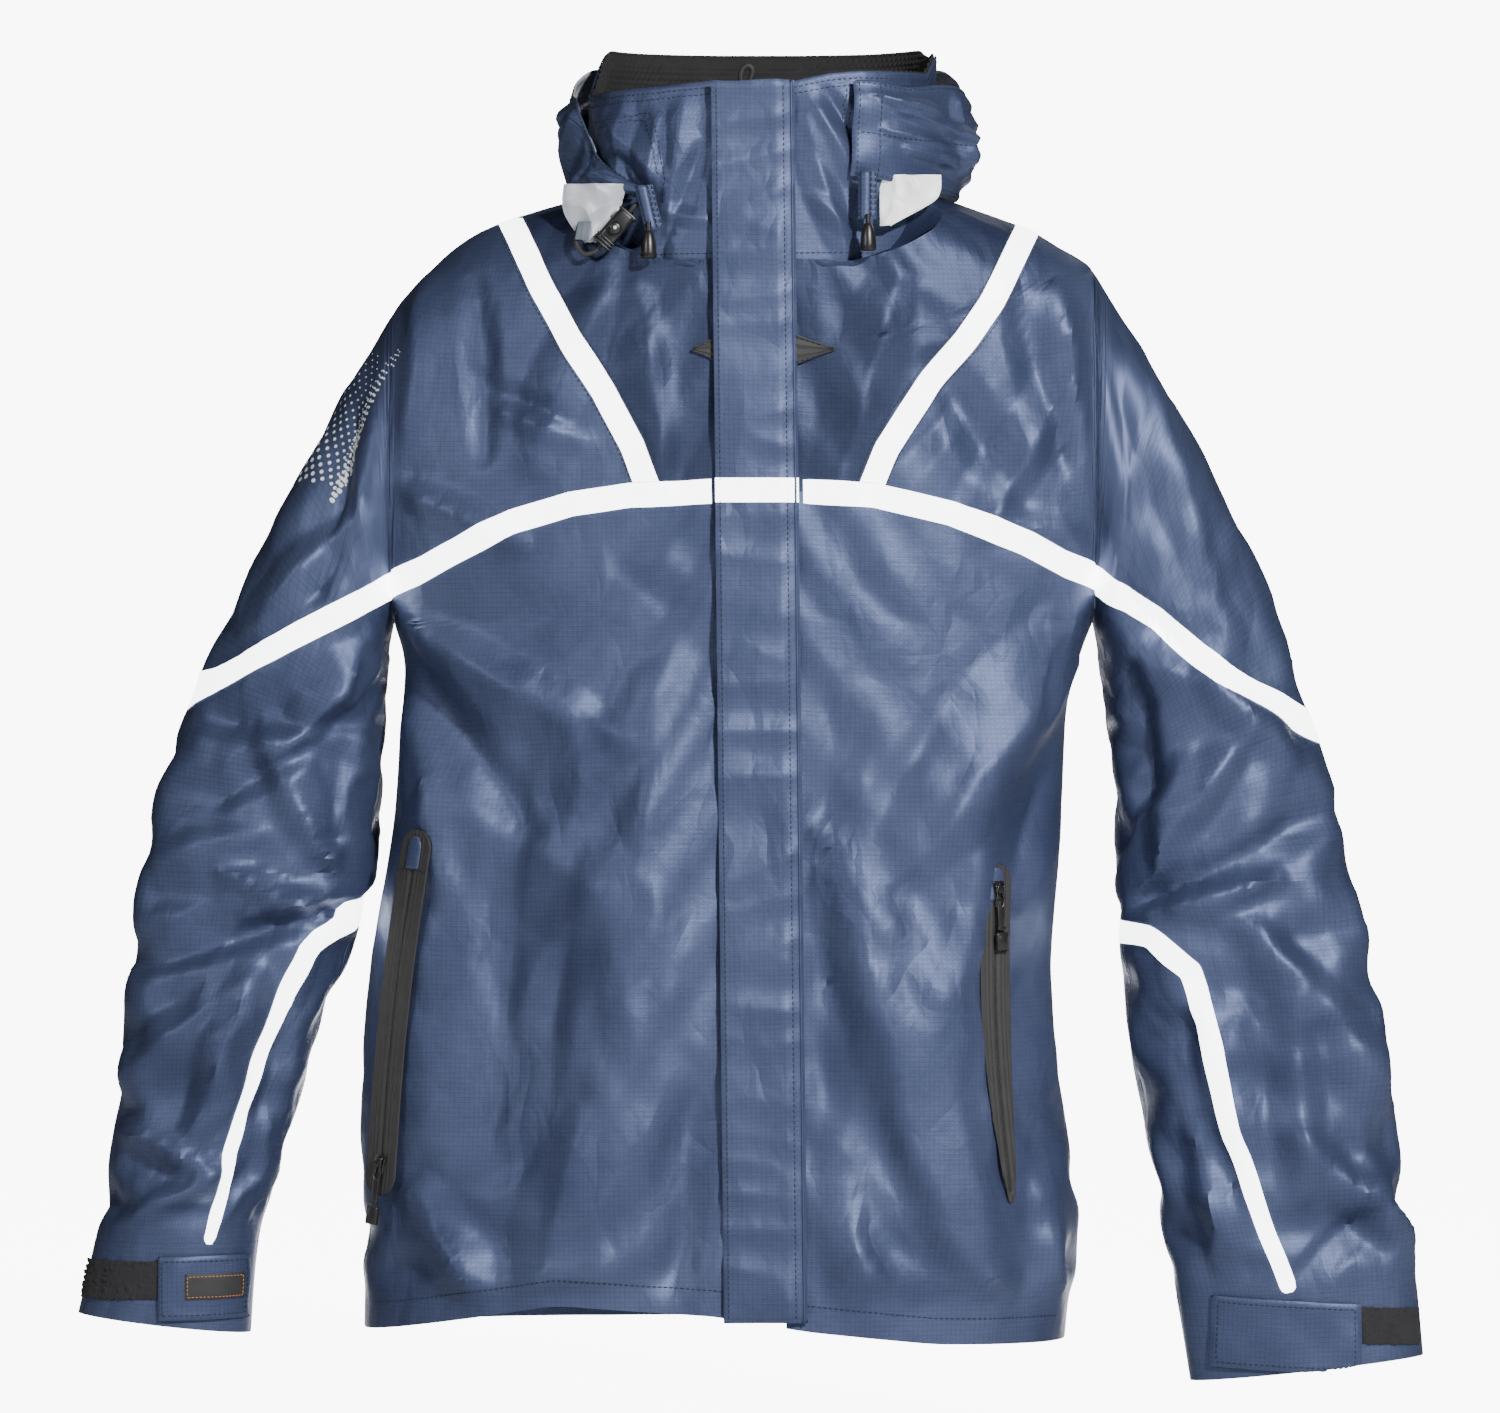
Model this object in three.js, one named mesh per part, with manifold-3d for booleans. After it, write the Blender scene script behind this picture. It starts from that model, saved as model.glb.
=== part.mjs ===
// Foul weather jacket, in millimetres: +Z up, the front towards -Y, the wearer's right at -X.
// The origin is the crown of the hanging loop inside the back neck, so the jacket hangs below and
// in front of it.
import * as THREE from "three";
import { mergeVertices } from "three/addons/utils/BufferGeometryUtils.js";
import Module from "manifold-3d";

// ---------- Driving dimensions ----------

const fabric = 1.8; // thickness of a sewn fabric layer with its lining
const seamGap = 0.4; // clearance between neighbouring panels
const tapeWidth = 16; // reflective tape
const tapeLift = 1.5; // underside of the tape above the fabric it is bonded to
const tapeThickness = 0.8;

const flapTop = 85;
const flapBottom = -724;
const flapWidth = 55;
const frontDepthAtTop = 160; // the front closure is a straight line, from this far in front of the loop
const frontSlope = 0.04; // and moving forward by this much for each millimetre down
const frontLean = 0.0105; // and towards the wearer's left by this much

const closureHalf = 13; // from the middle of the closure to the edge of each front panel
const sideSeam = -65; // y of the side and shoulder seams
const shoulderPlane = { right: -238, left: 227 }; // x of each armhole
const armholeSpan = [-280, 60]; // heights between which the torso ends at the shoulder planes
const torsoTop = 13; // the torso panels end here at the back of the neck
const neckSeam = [[-330, -44], [-65, -8], [120, 24]]; // (y, z), run on past the garment
const collarTopEdge = [[120, 123], [-330, 59]]; // (y, z), from the back to the front
const beyond = { x: [-600, 600], y: [-330, 150], z: [-900, 300] }; // past every side of the garment
const panelReach = { side: 330, hem: -800, neck: 60 }; // outlines of panels run on to here
const yokeBottom = -182; // the shoulder tapes end above the chest tape

// A torso section at each height: its right and left edge, its back, and how square it is.
const torsoStations = [
  [-738, -257, 208, 47, 2.8],
  [-660, -256, 216, 44, 2.8],
  [-600, -259, 208, 42, 2.8],
  [-500, -254, 199, 41, 2.8],
  [-400, -238, 206, 42, 2.7],
  [-300, -230, 212, 44, 2.6],
  [-265, -239, 228, 46, 2.5],
  [-240, -254, 241, 48, 2.4],
  [-210, -268, 255, 49, 2.4],
  [-170, -277, 265, 50, 2.4],
  [-130, -274, 266, 49, 2.4],
  [-90, -259, 260, 46, 2.4],
  [-62, -240, 248, 42, 2.4],
  [-40, -222, 236, 37, 2.3],
  [-20, -203, 212, 30, 2.3],
  [-6, -184, 190, 24, 2.3],
  [4, -158, 165, 20, 2.3],
  [12, -116, 130, 16, 2.3],
];

// The collar stand at each height: its right and left edge, its back, and how square it is.
const collarStations = [
  [-45, -110, 118, 14, 2.6],
  [0, -112, 120, 15, 2.6],
  [60, -110, 122, 18, 2.6],
  [125, -106, 124, 20, 2.6],
];

// The hood cover stands off the collar at the sides and, over the rolled hood, at the back.
const coverStations = [
  [10, -117, 133, 38, 2.6],
  [50, -118, 135, 42, 2.6],
  [90, -115, 136, 34, 2.6],
  [108, -110, 135, 26, 2.6],
];

const coverLift = 3.2;

// A sleeve section: outer edge (x, z), inner edge (x, z), y of its middle, and half its depth.
const sleeveStations = {
  right: [
    [-272, -112, -241, -282, -62, 70],
    [-302, -172, -243, -302, -64, 68],
    [-338, -243, -244, -324, -67, 65],
    [-371, -312, -245, -350, -71, 62],
    [-388, -370, -247, -388, -75, 59],
    [-399, -430, -250, -430, -80, 57],
    [-407, -490, -268, -486, -85, 55],
    [-416, -560, -292, -552, -90, 51],
    [-425, -630, -312, -624, -95, 46],
    [-434, -676, -326, -677, -98, 42],
    [-445, -724, -331, -737, -101, 39],
  ],
  left: [
    [262, -88, 230, -282, -62, 70],
    [294, -146, 233, -304, -64, 68],
    [326, -212, 236, -328, -67, 65],
    [357, -285, 240, -354, -71, 62],
    [381, -365, 242, -397, -75, 59],
    [394, -435, 243, -435, -80, 57],
    [407, -495, 246, -495, -85, 55],
    [421, -560, 254, -562, -90, 51],
    [432, -640, 268, -646, -95, 45],
    [440, -706, 281, -714, -99, 38],
    [444, -752, 290, -769, -102, 33],
  ],
};
const elbowStation = 5;
const cuffStation = 9;
const lastStation = 10;

// Middle lines of the reflective tape, which also cover the panel seams, as (x, z).
const chestLine = {
  right: [[-20, -183], [-80, -184], [-118, -189], [-156, -200], [-198, -221], [-262, -256]],
  left: [[36, -183], [80, -184], [131, -195], [180, -214], [233, -241], [262, -256]],
};
const shoulderLine = {
  right: [[-64, -190], [-78, -152], [-97, -116], [-117, -84], [-136, -50], [-160, 0], [-172, 30]],
  left: [[74, -190], [88, -154], [117, -109], [140, -82], [158, -56], [182, -8], [196, 30]],
};
const sleeveLine = {
  right: [[-230, -240], [-262, -255], [-330, -290], [-400, -327]],
  left: [[220, -235], [263, -262], [309, -299], [400, -350]],
};
const forearmLine = {
  right: [[-238, -449], [-262, -456], [-292, -480], [-316, -532], [-335, -588], [-356, -674]],
  left: [[232, -467], [262, -472], [289, -494], [304, -545], [316, -604], [352, -704]],
};
const yokeLine = [[-262, -256], [-120, -196], [0, -184], [120, -196], [262, -256]];

const pocket = {
  right: { top: [-214, -418], bottom: [-237, -632], sliderAt: "bottom" },
  left: { top: [157, -438], bottom: [166, -636], sliderAt: "top" },
};
const pocketLift = { right: 9, left: 5 }; // the welt clears the curve of the panel under it
const pocketBag = { lift: -fabric - 4, thickness: 1.2, width: [90, 110] };
const welt = { width: 26, thickness: 1.2, slot: 10 };
const coil = { width: 3.8, thickness: 1.4 };
const sliderSize = { height: 13, plate: 1.6, ear: [2.4, 3.6], earBottom: 6.5, earTop: 2, earDepth: 3.6 };
const pullSize = { narrow: 2, wide: 3.2, half: 0.7 };

// Extents of the closure's parts in its upright frame, where the flap lies along the middle.
const chainHeights = [flapBottom + 12, flapTop - 2];
const zipTape = { x: [3, 24], y: [4.8, 5.6] };
const chain = { x: 2.5, y: [0.6, 6.4] };
const placket = { x: [-25, 20], y: [9, 10.2], bottom: -715 };
const flapLayer = [-7.2, -5.8];
const flapTape = { y: [-8.4, -7.6], z: [-191, -175] };
const reinforcement = { tip: { right: -42, left: 52 }, root: 15, z: [-105, -91, -77], y: [-2.3, -1.5] };

const forearmTapeBack = -80; // y at which the forearm tape ends round the sleeve
const cuffFront = -103; // the tab and its patch lie in front of this y

// Hood: its cover stands off the collar, and the hood lies rolled between them.
const coverHeights = [15, 104];
const coverGap = [-68, 58]; // x between the ends of the cover at the front
const hoodRoll = { front: -95, z: [18, 88] };
const fleece = { low: -fabric - 4.5, high: -fabric - 0.5, gap: [-26, 30], front: -100 };

const loopPoints = [
  [-26, 2.4, -14], [-20, 1.2, -6], [-10, 0, -2], [0, 0, -1.5], [10, 0, -2], [20, 1.2, -6], [26, 2.4, -14],
];
const cordRadius = 1.5;
const cordEnd = { right: [-67, -8], left: [76, -3], length: 24, ahead: 9 }; // x and top of each end
const lock = { x: -89, y: -167, z: -12, length: 24, width: 15, lean: 0.72, y0: -4.5, y1: 6 };
const cordDepth = 2.9; // the cord runs this far behind the middle of its lock

const colour = {
  navy: 0x33476b,
  yoke: 0x2c3f63,
  tape: 0xe9ebee,
  black: 0x17171a,
  lining: 0x8f959e,
};

// ---------- Solids ----------

const wasm = await Module();
wasm.setup();

function solidOf(geometry) {
  const bare = geometry.index ? geometry.toNonIndexed() : geometry.clone();
  for (const name of ["normal", "uv"]) bare.deleteAttribute(name);
  const merged = mergeVertices(bare, 1e-4);
  const mesh = new wasm.Mesh({
    numProp: 3,
    vertProperties: merged.attributes.position.array,
    triVerts: new Uint32Array(merged.index.array),
  });
  return new wasm.Manifold(mesh);
}

function geometryOf(solid) {
  const mesh = solid.getMesh();
  const geometry = new THREE.BufferGeometry();
  geometry.setAttribute("position", new THREE.BufferAttribute(mesh.vertProperties, 3));
  geometry.setIndex(new THREE.BufferAttribute(mesh.triVerts, 1));
  geometry.computeVertexNormals();
  return geometry;
}

// A box from its lowest to its highest corner.
function box(low, high) {
  const size = high.map((value, axis) => value - low[axis]);
  const middle = high.map((value, axis) => (value + low[axis]) / 2);
  return new THREE.BoxGeometry(...size).translate(...middle);
}

// An outline in (x, z), carried along Y from front to back.
function slab(outline, front, back) {
  const shape = new THREE.Shape(outline.map(([x, z]) => new THREE.Vector2(x, z)));
  const geometry = new THREE.ExtrudeGeometry(shape, { depth: back - front, bevelEnabled: false });
  return geometry.rotateX(Math.PI / 2).translate(0, back, 0);
}

// A solid through rings of equal count, closed by a fan at each end.
function loft(rings) {
  const count = rings[0].length;
  const positions = [];
  const triangle = (a, b, c) => positions.push(...a.toArray(), ...b.toArray(), ...c.toArray());
  for (let row = 0; row + 1 < rings.length; row++) {
    for (let at = 0; at < count; at++) {
      const next = (at + 1) % count;
      triangle(rings[row][at], rings[row][next], rings[row + 1][next]);
      triangle(rings[row][at], rings[row + 1][next], rings[row + 1][at]);
    }
  }
  const middleOf = (ring) => ring.reduce((sum, p) => sum.add(p), new THREE.Vector3()).divideScalar(count);
  const [first, last] = [rings[0], rings.at(-1)];
  const [firstMiddle, lastMiddle] = [middleOf(first), middleOf(last)];
  for (let at = 0; at < count; at++) {
    const next = (at + 1) % count;
    triangle(first[next], first[at], firstMiddle);
    triangle(last[at], last[next], lastMiddle);
  }
  const geometry = new THREE.BufferGeometry();
  geometry.setAttribute("position", new THREE.Float32BufferAttribute(positions, 3));
  const solid = solidOf(geometry);
  return solid.volume() < 0 ? solidOf(flipped(geometry)) : solid;
}

function flipped(geometry) {
  const from = geometry.attributes.position;
  const positions = [];
  for (let at = 0; at < from.count; at += 3) {
    for (const corner of [0, 2, 1]) {
      positions.push(from.getX(at + corner), from.getY(at + corner), from.getZ(at + corner));
    }
  }
  const geometryOut = new THREE.BufferGeometry();
  geometryOut.setAttribute("position", new THREE.Float32BufferAttribute(positions, 3));
  return geometryOut;
}

// A point of a surface, moved out along its normal.
function lifted(surface, around, along, lift) {
  const step = 0.002;
  const here = surface(around, along);
  const sideways = surface(around + step, along).sub(surface(around - step, along));
  const onwards = surface(around, along + step).sub(surface(around, along - step));
  const normal = sideways.cross(onwards).normalize();
  const outwards = here.clone().sub(surface(around + Math.PI, along));
  if (normal.dot(outwards) < 0) normal.negate();
  return here.addScaledVector(normal, lift);
}

function skin(surface, rows, sides, lift) {
  const angles = Array.from({ length: sides }, (_, at) => (2 * Math.PI * at) / sides);
  return loft(rows.map((row) => angles.map((angle) => lifted(surface, angle, row, lift))));
}

// The layer of a tube between two lifts, open at both ends.
function layer(surface, rows, sides, low, high) {
  const longer = [rows[0] - 0.5, ...rows, rows.at(-1) + 0.5];
  return skin(surface, rows, sides, high).subtract(skin(surface, longer, sides, low));
}

// A line moved sideways, to its left.
function shifted(line, distance) {
  return line.map(([x, z], at) => {
    const [x0, z0] = line[Math.max(at - 1, 0)];
    const [x1, z1] = line[Math.min(at + 1, line.length - 1)];
    const length = Math.hypot(x1 - x0, z1 - z0);
    return [x - ((z1 - z0) / length) * distance, z + ((x1 - x0) / length) * distance];
  });
}

function strip(line, width) {
  return [...shifted(line, -width / 2), ...shifted(line, width / 2).reverse()];
}

// ---------- Surfaces of the garment ----------

function sectionAt(stations, index) {
  const last = stations.length - 1;
  const inside = Math.min(Math.max(index, 0), last);
  const low = Math.min(Math.floor(inside), last - 1);
  const share = inside - low;
  return stations[low].map((value, column) => value + share * (stations[low + 1][column] - value));
}

const frontAt = (z) => -frontDepthAtTop - frontSlope * (flapTop - z);
const centreAt = (z) => 1 + frontLean * (flapTop - z);
const signedPower = (value, power) => Math.sign(value) * Math.abs(value) ** power;

// A tube whose sections are rounded rectangles standing on the straight front line.
function tube(stations) {
  return (angle, index) => {
    const [z, right, left, back, square] = sectionAt(stations, index);
    const past = Math.max(index - stations.length + 1, 0) * 20 + Math.min(index, 0) * 20;
    const front = frontAt(z);
    const x = (left + right) / 2 + ((left - right) / 2) * signedPower(Math.cos(angle), 2 / square);
    const y = (back + front) / 2 + ((back - front) / 2) * signedPower(Math.sin(angle), 2 / square);
    return new THREE.Vector3(x, y, z + past);
  };
}

const indexOfHeight = (stations, z) => {
  const low = Math.max(0, Math.min(stations.findLastIndex((row) => row[0] <= z), stations.length - 2));
  return low + (z - stations[low][0]) / (stations[low + 1][0] - stations[low][0]);
};

// Front surface of a tube above the point (x, z).
function frontSurface(stations, x, z) {
  const [, right, left, back, square] = sectionAt(stations, indexOfHeight(stations, z));
  const across = Math.min(Math.abs(x - (left + right) / 2) / ((left - right) / 2), 1);
  const share = (1 - across ** square) ** (1 / square);
  return (back + frontAt(z)) / 2 - ((back - frontAt(z)) / 2) * share;
}

// The armhole is where the torso meets the shoulder plane; its ring runs from the top over the front.
function armholeRing(side, angle) {
  const x = shoulderPlane[side];
  const edge = side === "right" ? 1 : 2;
  const sectionOf = (z) => sectionAt(torsoStations, indexOfHeight(torsoStations, z));
  const reach = (z) => Math.abs(sectionOf(z)[edge]) - Math.abs(x);
  const meet = (low, high) => {
    for (let round = 0; round < 40; round++) {
      const middle = (low + high) / 2;
      if (reach(middle) > 0 === reach(high) > 0) high = middle;
      else low = middle;
    }
    return (low + high) / 2;
  };
  const top = meet(-150, -10);
  const bottom = meet(-300, -150);
  const z = (top + bottom) / 2 + ((top - bottom) / 2) * Math.cos(angle);
  const [, right, left, back, square] = sectionOf(z);
  const across = Math.min(Math.abs(x - (left + right) / 2) / ((left - right) / 2), 1);
  const share = (1 - across ** square) ** (1 / square);
  const half = ((back - frontAt(z)) / 2) * share;
  const y = (back + frontAt(z)) / 2 - half * Math.sign(Math.sin(angle));
  return new THREE.Vector3(x, Math.abs(Math.sin(angle)) < 1e-9 ? (back + frontAt(z)) / 2 : y, z);
}

// A sleeve runs from its armhole, at -1, through its stations; the angle starts at the outer edge.
function sleeve(side) {
  const stations = sleeveStations[side];
  const ellipse = (angle, index) => {
    const [xOuter, zOuter, xInner, zInner, y, depth] = sectionAt(stations, index);
    const past = Math.max(index - stations.length + 1, 0) * 20;
    const across = Math.cos(angle);
    return new THREE.Vector3(
      (xOuter + xInner) / 2 + ((xOuter - xInner) / 2) * across,
      y - depth * Math.sin(angle),
      (zOuter + zInner) / 2 + ((zOuter - zInner) / 2) * across - past,
    );
  };
  const outwards = side === "right" ? -1 : 1;
  return (angle, index) => {
    if (index >= 0) return ellipse(angle, index);
    const share = Math.max(-index, 0);
    const start = armholeRing(side, angle).add(new THREE.Vector3(outwards * seamGap, 0, 0));
    if (share > 1) return start.add(new THREE.Vector3(-outwards * (share - 1) * 20, 0, 0));
    return ellipse(angle, 0).lerp(start, share);
  };
}

const torso = tube(torsoStations);
const collar = tube(collarStations);
const cover = tube(coverStations);
const sleeves = { right: sleeve("right"), left: sleeve("left") };

// ---------- Assembly ----------

const jacket = new THREE.Group();

function add(name, shape, tint, parent = jacket) {
  const geometry = shape.isBufferGeometry ? shape : geometryOf(shape);
  const material = new THREE.MeshStandardMaterial({ color: tint, roughness: 0.6, metalness: 0 });
  const mesh = new THREE.Mesh(geometry, material);
  mesh.name = name;
  parent.add(mesh);
  return mesh;
}

// The part of space between the limits given; an axis without limits runs past the garment.
function region(limits) {
  const { x, y, z } = { ...beyond, ...limits };
  return solidOf(box([x[0], y[0], z[0]], [x[1], y[1], z[1]]));
}

const inFront = (outline) => solidOf(slab(outline, -320, sideSeam - seamGap / 2));
const behind = (outline) => solidOf(slab(outline, sideSeam + seamGap / 2, 120));
const through = (outline) => solidOf(slab(outline, -320, 120));
const torsoRows = torsoStations.map((_, at) => at);

// The space above the neck seam, moved up by a lift, and below a ceiling (y, z) from back to front.
function aboveNeckSeam(lift, ceiling) {
  const outline = [...neckSeam.map(([y, z]) => [y, z + lift]), ...ceiling];
  const shape = new THREE.Shape(outline.map(([y, z]) => new THREE.Vector2(y, z)));
  const width = beyond.x[1] - beyond.x[0];
  const wedge = new THREE.ExtrudeGeometry(shape, { depth: width, bevelEnabled: false });
  return solidOf(wedge.rotateX(Math.PI / 2).rotateZ(Math.PI / 2).translate(beyond.x[0], 0, 0));
}

// Everything inside the collar stand above its seam, which no torso panel enters.
function neckCutter(lift) {
  const rows = collarStations.map((_, at) => at);
  const stand = skin(collar, [rows[0] - 1, ...rows, rows.at(-1) + 3], 36, lift);
  const sky = beyond.z[1];
  return stand.intersect(aboveNeckSeam(0, [[neckSeam[2][0], sky], [neckSeam[0][0], sky]]));
}

function torsoLayer(low, high) {
  const rows = [...torsoRows, torsoRows.at(-1) + 1];
  const above = region({ z: [torsoTop, beyond.z[1]] });
  const armholes = [
    region({ x: [beyond.x[0], shoulderPlane.right], z: armholeSpan }),
    region({ x: [shoulderPlane.left, beyond.x[1]], z: armholeSpan }),
  ];
  let made = layer(torso, rows, 36, low, high).subtract(neckCutter(seamGap + 1));
  for (const cut of [above, ...armholes]) made = made.subtract(cut);
  return made;
}

function torsoPanels() {
  const shell = torsoLayer(-fabric, 0);
  const half = seamGap / 2;
  const { side: reach, hem, neck } = panelReach;
  for (const side of ["right", "left"]) {
    const away = side === "right" ? -1 : 1;
    const line = chestLine[side];
    const [start, end] = [line[0][1], line.at(-1)[1]];
    const edge = (z) => [centreAt(z) + away * closureHalf, z];
    const lower = shifted(line, -away * half);
    const upper = shifted(line, away * half);
    const inner = shifted(shoulderLine[side], away * half);
    const outer = shifted(shoulderLine[side], -away * half);
    add(`${side}_front_panel`, shell.intersect(inFront([
      edge(start), ...lower.slice(1), [away * reach, end], [away * reach, hem], edge(hem),
    ])), colour.navy);
    const aboveChest = inFront([
      edge(start), ...upper.slice(1), [away * reach, end], [away * reach, neck], edge(neck),
    ]);
    const insideTape = inFront([[away * 5, end], ...inner, [away * 5, neck]]);
    const outsideTape = inFront([...outer, [away * reach, neck], [away * reach, end - 40]]);
    add(`${side}_front_yoke`, shell.intersect(aboveChest).intersect(insideTape), colour.yoke);
    add(`${side}_shoulder_panel`, shell.intersect(aboveChest).intersect(outsideTape), colour.navy);
  }
  const sideHeight = yokeLine[0][1];
  add("back_panel", shell.intersect(behind([
    [-reach, hem], [-reach, sideHeight], ...shifted(yokeLine, -half), [reach, sideHeight], [reach, hem],
  ])), colour.navy);
  const above = sideHeight + seamGap;
  add("back_yoke", shell.intersect(behind([
    [-reach, above], ...shifted(yokeLine, half), [reach, above], [reach, neck], [-reach, neck],
  ])), colour.yoke);
}

function torsoTape() {
  const shell = torsoLayer(tapeLift, tapeLift + tapeThickness);
  const { side: reach, neck } = panelReach;
  for (const side of ["right", "left"]) {
    const away = side === "right" ? -1 : 1;
    const clear = flapWidth / 2 + 4;
    const start = chestLine[side][0][1];
    const chest = [[centreAt(start) + away * clear, start], ...chestLine[side].slice(1)];
    add(`${side}_chest_tape`, shell.intersect(inFront(strip(chest, tapeWidth))), colour.tape);
    const wider = inFront(strip(chest, tapeWidth + 2 * seamGap));
    const shoulderStrip = inFront(strip(shoulderLine[side], tapeWidth)).subtract(wider);
    const aboveChest = inFront([
      [away * 5, yokeBottom], [away * reach, yokeBottom], [away * reach, neck], [away * 5, neck],
    ]);
    add(`${side}_shoulder_tape`, shell.intersect(shoulderStrip).intersect(aboveChest), colour.tape);
  }
  add("back_chest_tape", shell.intersect(behind(strip(yokeLine, tapeWidth))), colour.tape);
}

function sleevePieces(side) {
  const surface = sleeves[side];
  const rows = [-1, -0.5, ...Array.from({ length: elbowStation + 1 }, (_, at) => at)];
  const elbow = sleeveStations[side][elbowStation][1];
  const sides = 20;
  const outside = side === "right"
    ? [beyond.x[0], shoulderPlane.right - seamGap]
    : [shoulderPlane.left + seamGap, beyond.x[1]];
  const upperRegion = region({ x: outside, z: [elbow + seamGap / 2, beyond.z[1]] });
  const upperLayer = (low, high) => layer(surface, [...rows, elbowStation + 0.2], sides, low, high)
    .intersect(upperRegion);
  add(`${side}_upper_sleeve`, upperLayer(-fabric, 0), colour.navy);
  const ring = upperLayer(tapeLift, tapeLift + tapeThickness);
  add(`${side}_sleeve_tape`, ring.intersect(through(strip(sleeveLine[side], tapeWidth))), colour.tape);

  const lowerRows = [-0.2, 0, 1, 2, 3].map((past) => elbowStation + past);
  const lowerRegion = region({ z: [beyond.z[0], elbow - seamGap / 2] });
  const lowerLayer = (low, high) => layer(surface, [...lowerRows, cuffStation - 0.01], sides, low, high)
    .intersect(lowerRegion);
  add(`${side}_forearm`, lowerLayer(-fabric, 0), colour.navy);
  const frontHalf = region({ y: [beyond.y[0], forearmTapeBack] });
  add(`${side}_forearm_tape`, lowerLayer(tapeLift, tapeLift + tapeThickness)
    .intersect(through(strip(forearmLine[side], tapeWidth))).intersect(frontHalf), colour.tape);
}

// A cuff, the loop patch sewn on its front and the tab that closes over the patch.
const cuff = {
  right: { patch: [-446, -387, -689, -714], tab: [-389, -334, -685, -726], skew: 0.02 },
  left: { patch: [393, 446, -718, -742], tab: [303, 400, -711, -758], skew: -0.06 },
};

function cuffPieces(side) {
  const surface = sleeves[side];
  const cuffLayer = (low, high) => layer(surface, [cuffStation, lastStation], 24, low, high);
  add(`${side}_cuff`, cuffLayer(-fabric, 0), colour.yoke);
  const ahead = region({ y: [beyond.y[0], cuffFront] });
  const piece = ([x0, x1, top, bottom], low, high) => {
    const tilt = (x) => (x - x0) * cuff[side].skew;
    const outline = [[x0, bottom], [x1, bottom + tilt(x1)], [x1, top + tilt(x1)], [x0, top]];
    return cuffLayer(low, high).intersect(through(outline)).intersect(ahead);
  };
  add(`${side}_cuff_loop_patch`, piece(cuff[side].patch, 1, 2), colour.black);
  add(`${side}_cuff_tab`, piece(cuff[side].tab, 2.5, 4), colour.yoke);
}

// ---------- Collar and hood ----------

function collarPieces() {
  const rows = collarStations.map((_, at) => at);
  const allRows = [rows[0] - 1, ...rows, rows.at(-1) + 1];
  const stand = layer(collar, allRows, 36, -fabric, 0).intersect(aboveNeckSeam(seamGap, collarTopEdge));
  const front = { right: [beyond.x[0], 1 - closureHalf], left: [1 + closureHalf, beyond.x[1]] };
  for (const side of ["right", "left"]) {
    const half = region({ x: front[side], y: [beyond.y[0], sideSeam - seamGap / 2] });
    add(`${side}_collar_front`, stand.intersect(half), colour.yoke);
  }
  const rear = region({ y: [sideSeam + seamGap / 2, beyond.y[1]] });
  add("collar_back", stand.intersect(rear), colour.yoke);

  const opening = region({ x: fleece.gap, y: [beyond.y[0], fleece.front] });
  const pile = layer(collar, allRows, 36, fleece.low, fleece.high)
    .intersect(aboveNeckSeam(seamGap + 3, collarTopEdge)).subtract(opening);
  add("collar_fleece", pile, colour.black);

  const coverRows = coverStations.map((_, at) => at);
  const hoodCover = layer(cover, coverRows, 36, coverLift, coverLift + fabric);
  const gap = region({ x: coverGap, y: [beyond.y[0], sideSeam] });
  add("hood_cover", hoodCover.intersect(region({ z: coverHeights })).subtract(gap), colour.navy);
  const roll = skin(cover, coverRows, 36, coverLift - 1).subtract(skin(collar, allRows, 36, 0.6));
  const rollRegion = region({ y: [hoodRoll.front, beyond.y[1]], z: hoodRoll.z });
  add("stowed_hood", roll.intersect(rollRegion), colour.lining);
}

// A round cord swept along a smooth route.
function cord(name, points, steps, curveSegments) {
  const section = new THREE.Shape();
  section.absellipse(0, 0, cordRadius, cordRadius, 0, 2 * Math.PI);
  const extrudePath = new THREE.CatmullRomCurve3(points);
  const options = { steps, curveSegments, bevelEnabled: false, extrudePath };
  add(name, new THREE.ExtrudeGeometry(section, options), colour.black);
}

// The loop hangs on the back neck seam: its crown is the origin.
function hangingLoop() {
  cord("hanging_loop", loopPoints.map((point) => new THREE.Vector3(...point)), 12, 3);
}

// ---------- Front closure ----------

// The closure is drawn upright about its own middle line, then leaned onto the front.
const ontoFront = new THREE.Matrix4().set(
  1, 0, -frontLean, 1 + frontLean * flapTop,
  0, 1, frontSlope, -frontDepthAtTop - frontSlope * flapTop,
  0, 0, 1, 0,
  0, 0, 0, 1,
);

const closurePiece = (name, geometry, tint) => add(name, geometry.applyMatrix4(ontoFront), tint);

function frontClosure() {
  const [bottom, top] = chainHeights;
  const piece = (name, [x0, x1], [y0, y1], [z0, z1], tint) =>
    closurePiece(name, box([x0, y0, z0], [x1, y1, z1]), tint);
  const flapX = [-flapWidth / 2, flapWidth / 2 - 0.5];
  piece("right_zip_tape", [-zipTape.x[1], -zipTape.x[0]], zipTape.y, chainHeights, colour.black);
  piece("left_zip_tape", zipTape.x, zipTape.y, chainHeights, colour.black);
  piece("main_zip_chain", [-chain.x, chain.x], chain.y, chainHeights, colour.black);
  piece("inner_placket", placket.x, placket.y, [placket.bottom, top - 4], colour.navy);
  piece("storm_flap", flapX, flapLayer, [flapBottom, flapTop], colour.navy);
  piece("flap_tape", flapX, flapTape.y, flapTape.z, colour.tape);
  for (const [side, away] of [["right", -1], ["left", 1]]) {
    const { tip, root, z, y } = reinforcement;
    const outline = [[tip[side], z[1]], [away * root, z[0]], [away * root, z[2]]];
    closurePiece(`${side}_reinforcement`, slab(outline, ...y), colour.black);
  }
  closurePiece("main_zip_slider", geometryOf(slider(top - 1, 5.6, 3.3, -1.2, 0)), colour.black);
  closurePiece("main_zip_pull", pull(top - 5, -3.6, 24), colour.black);
}

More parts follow.
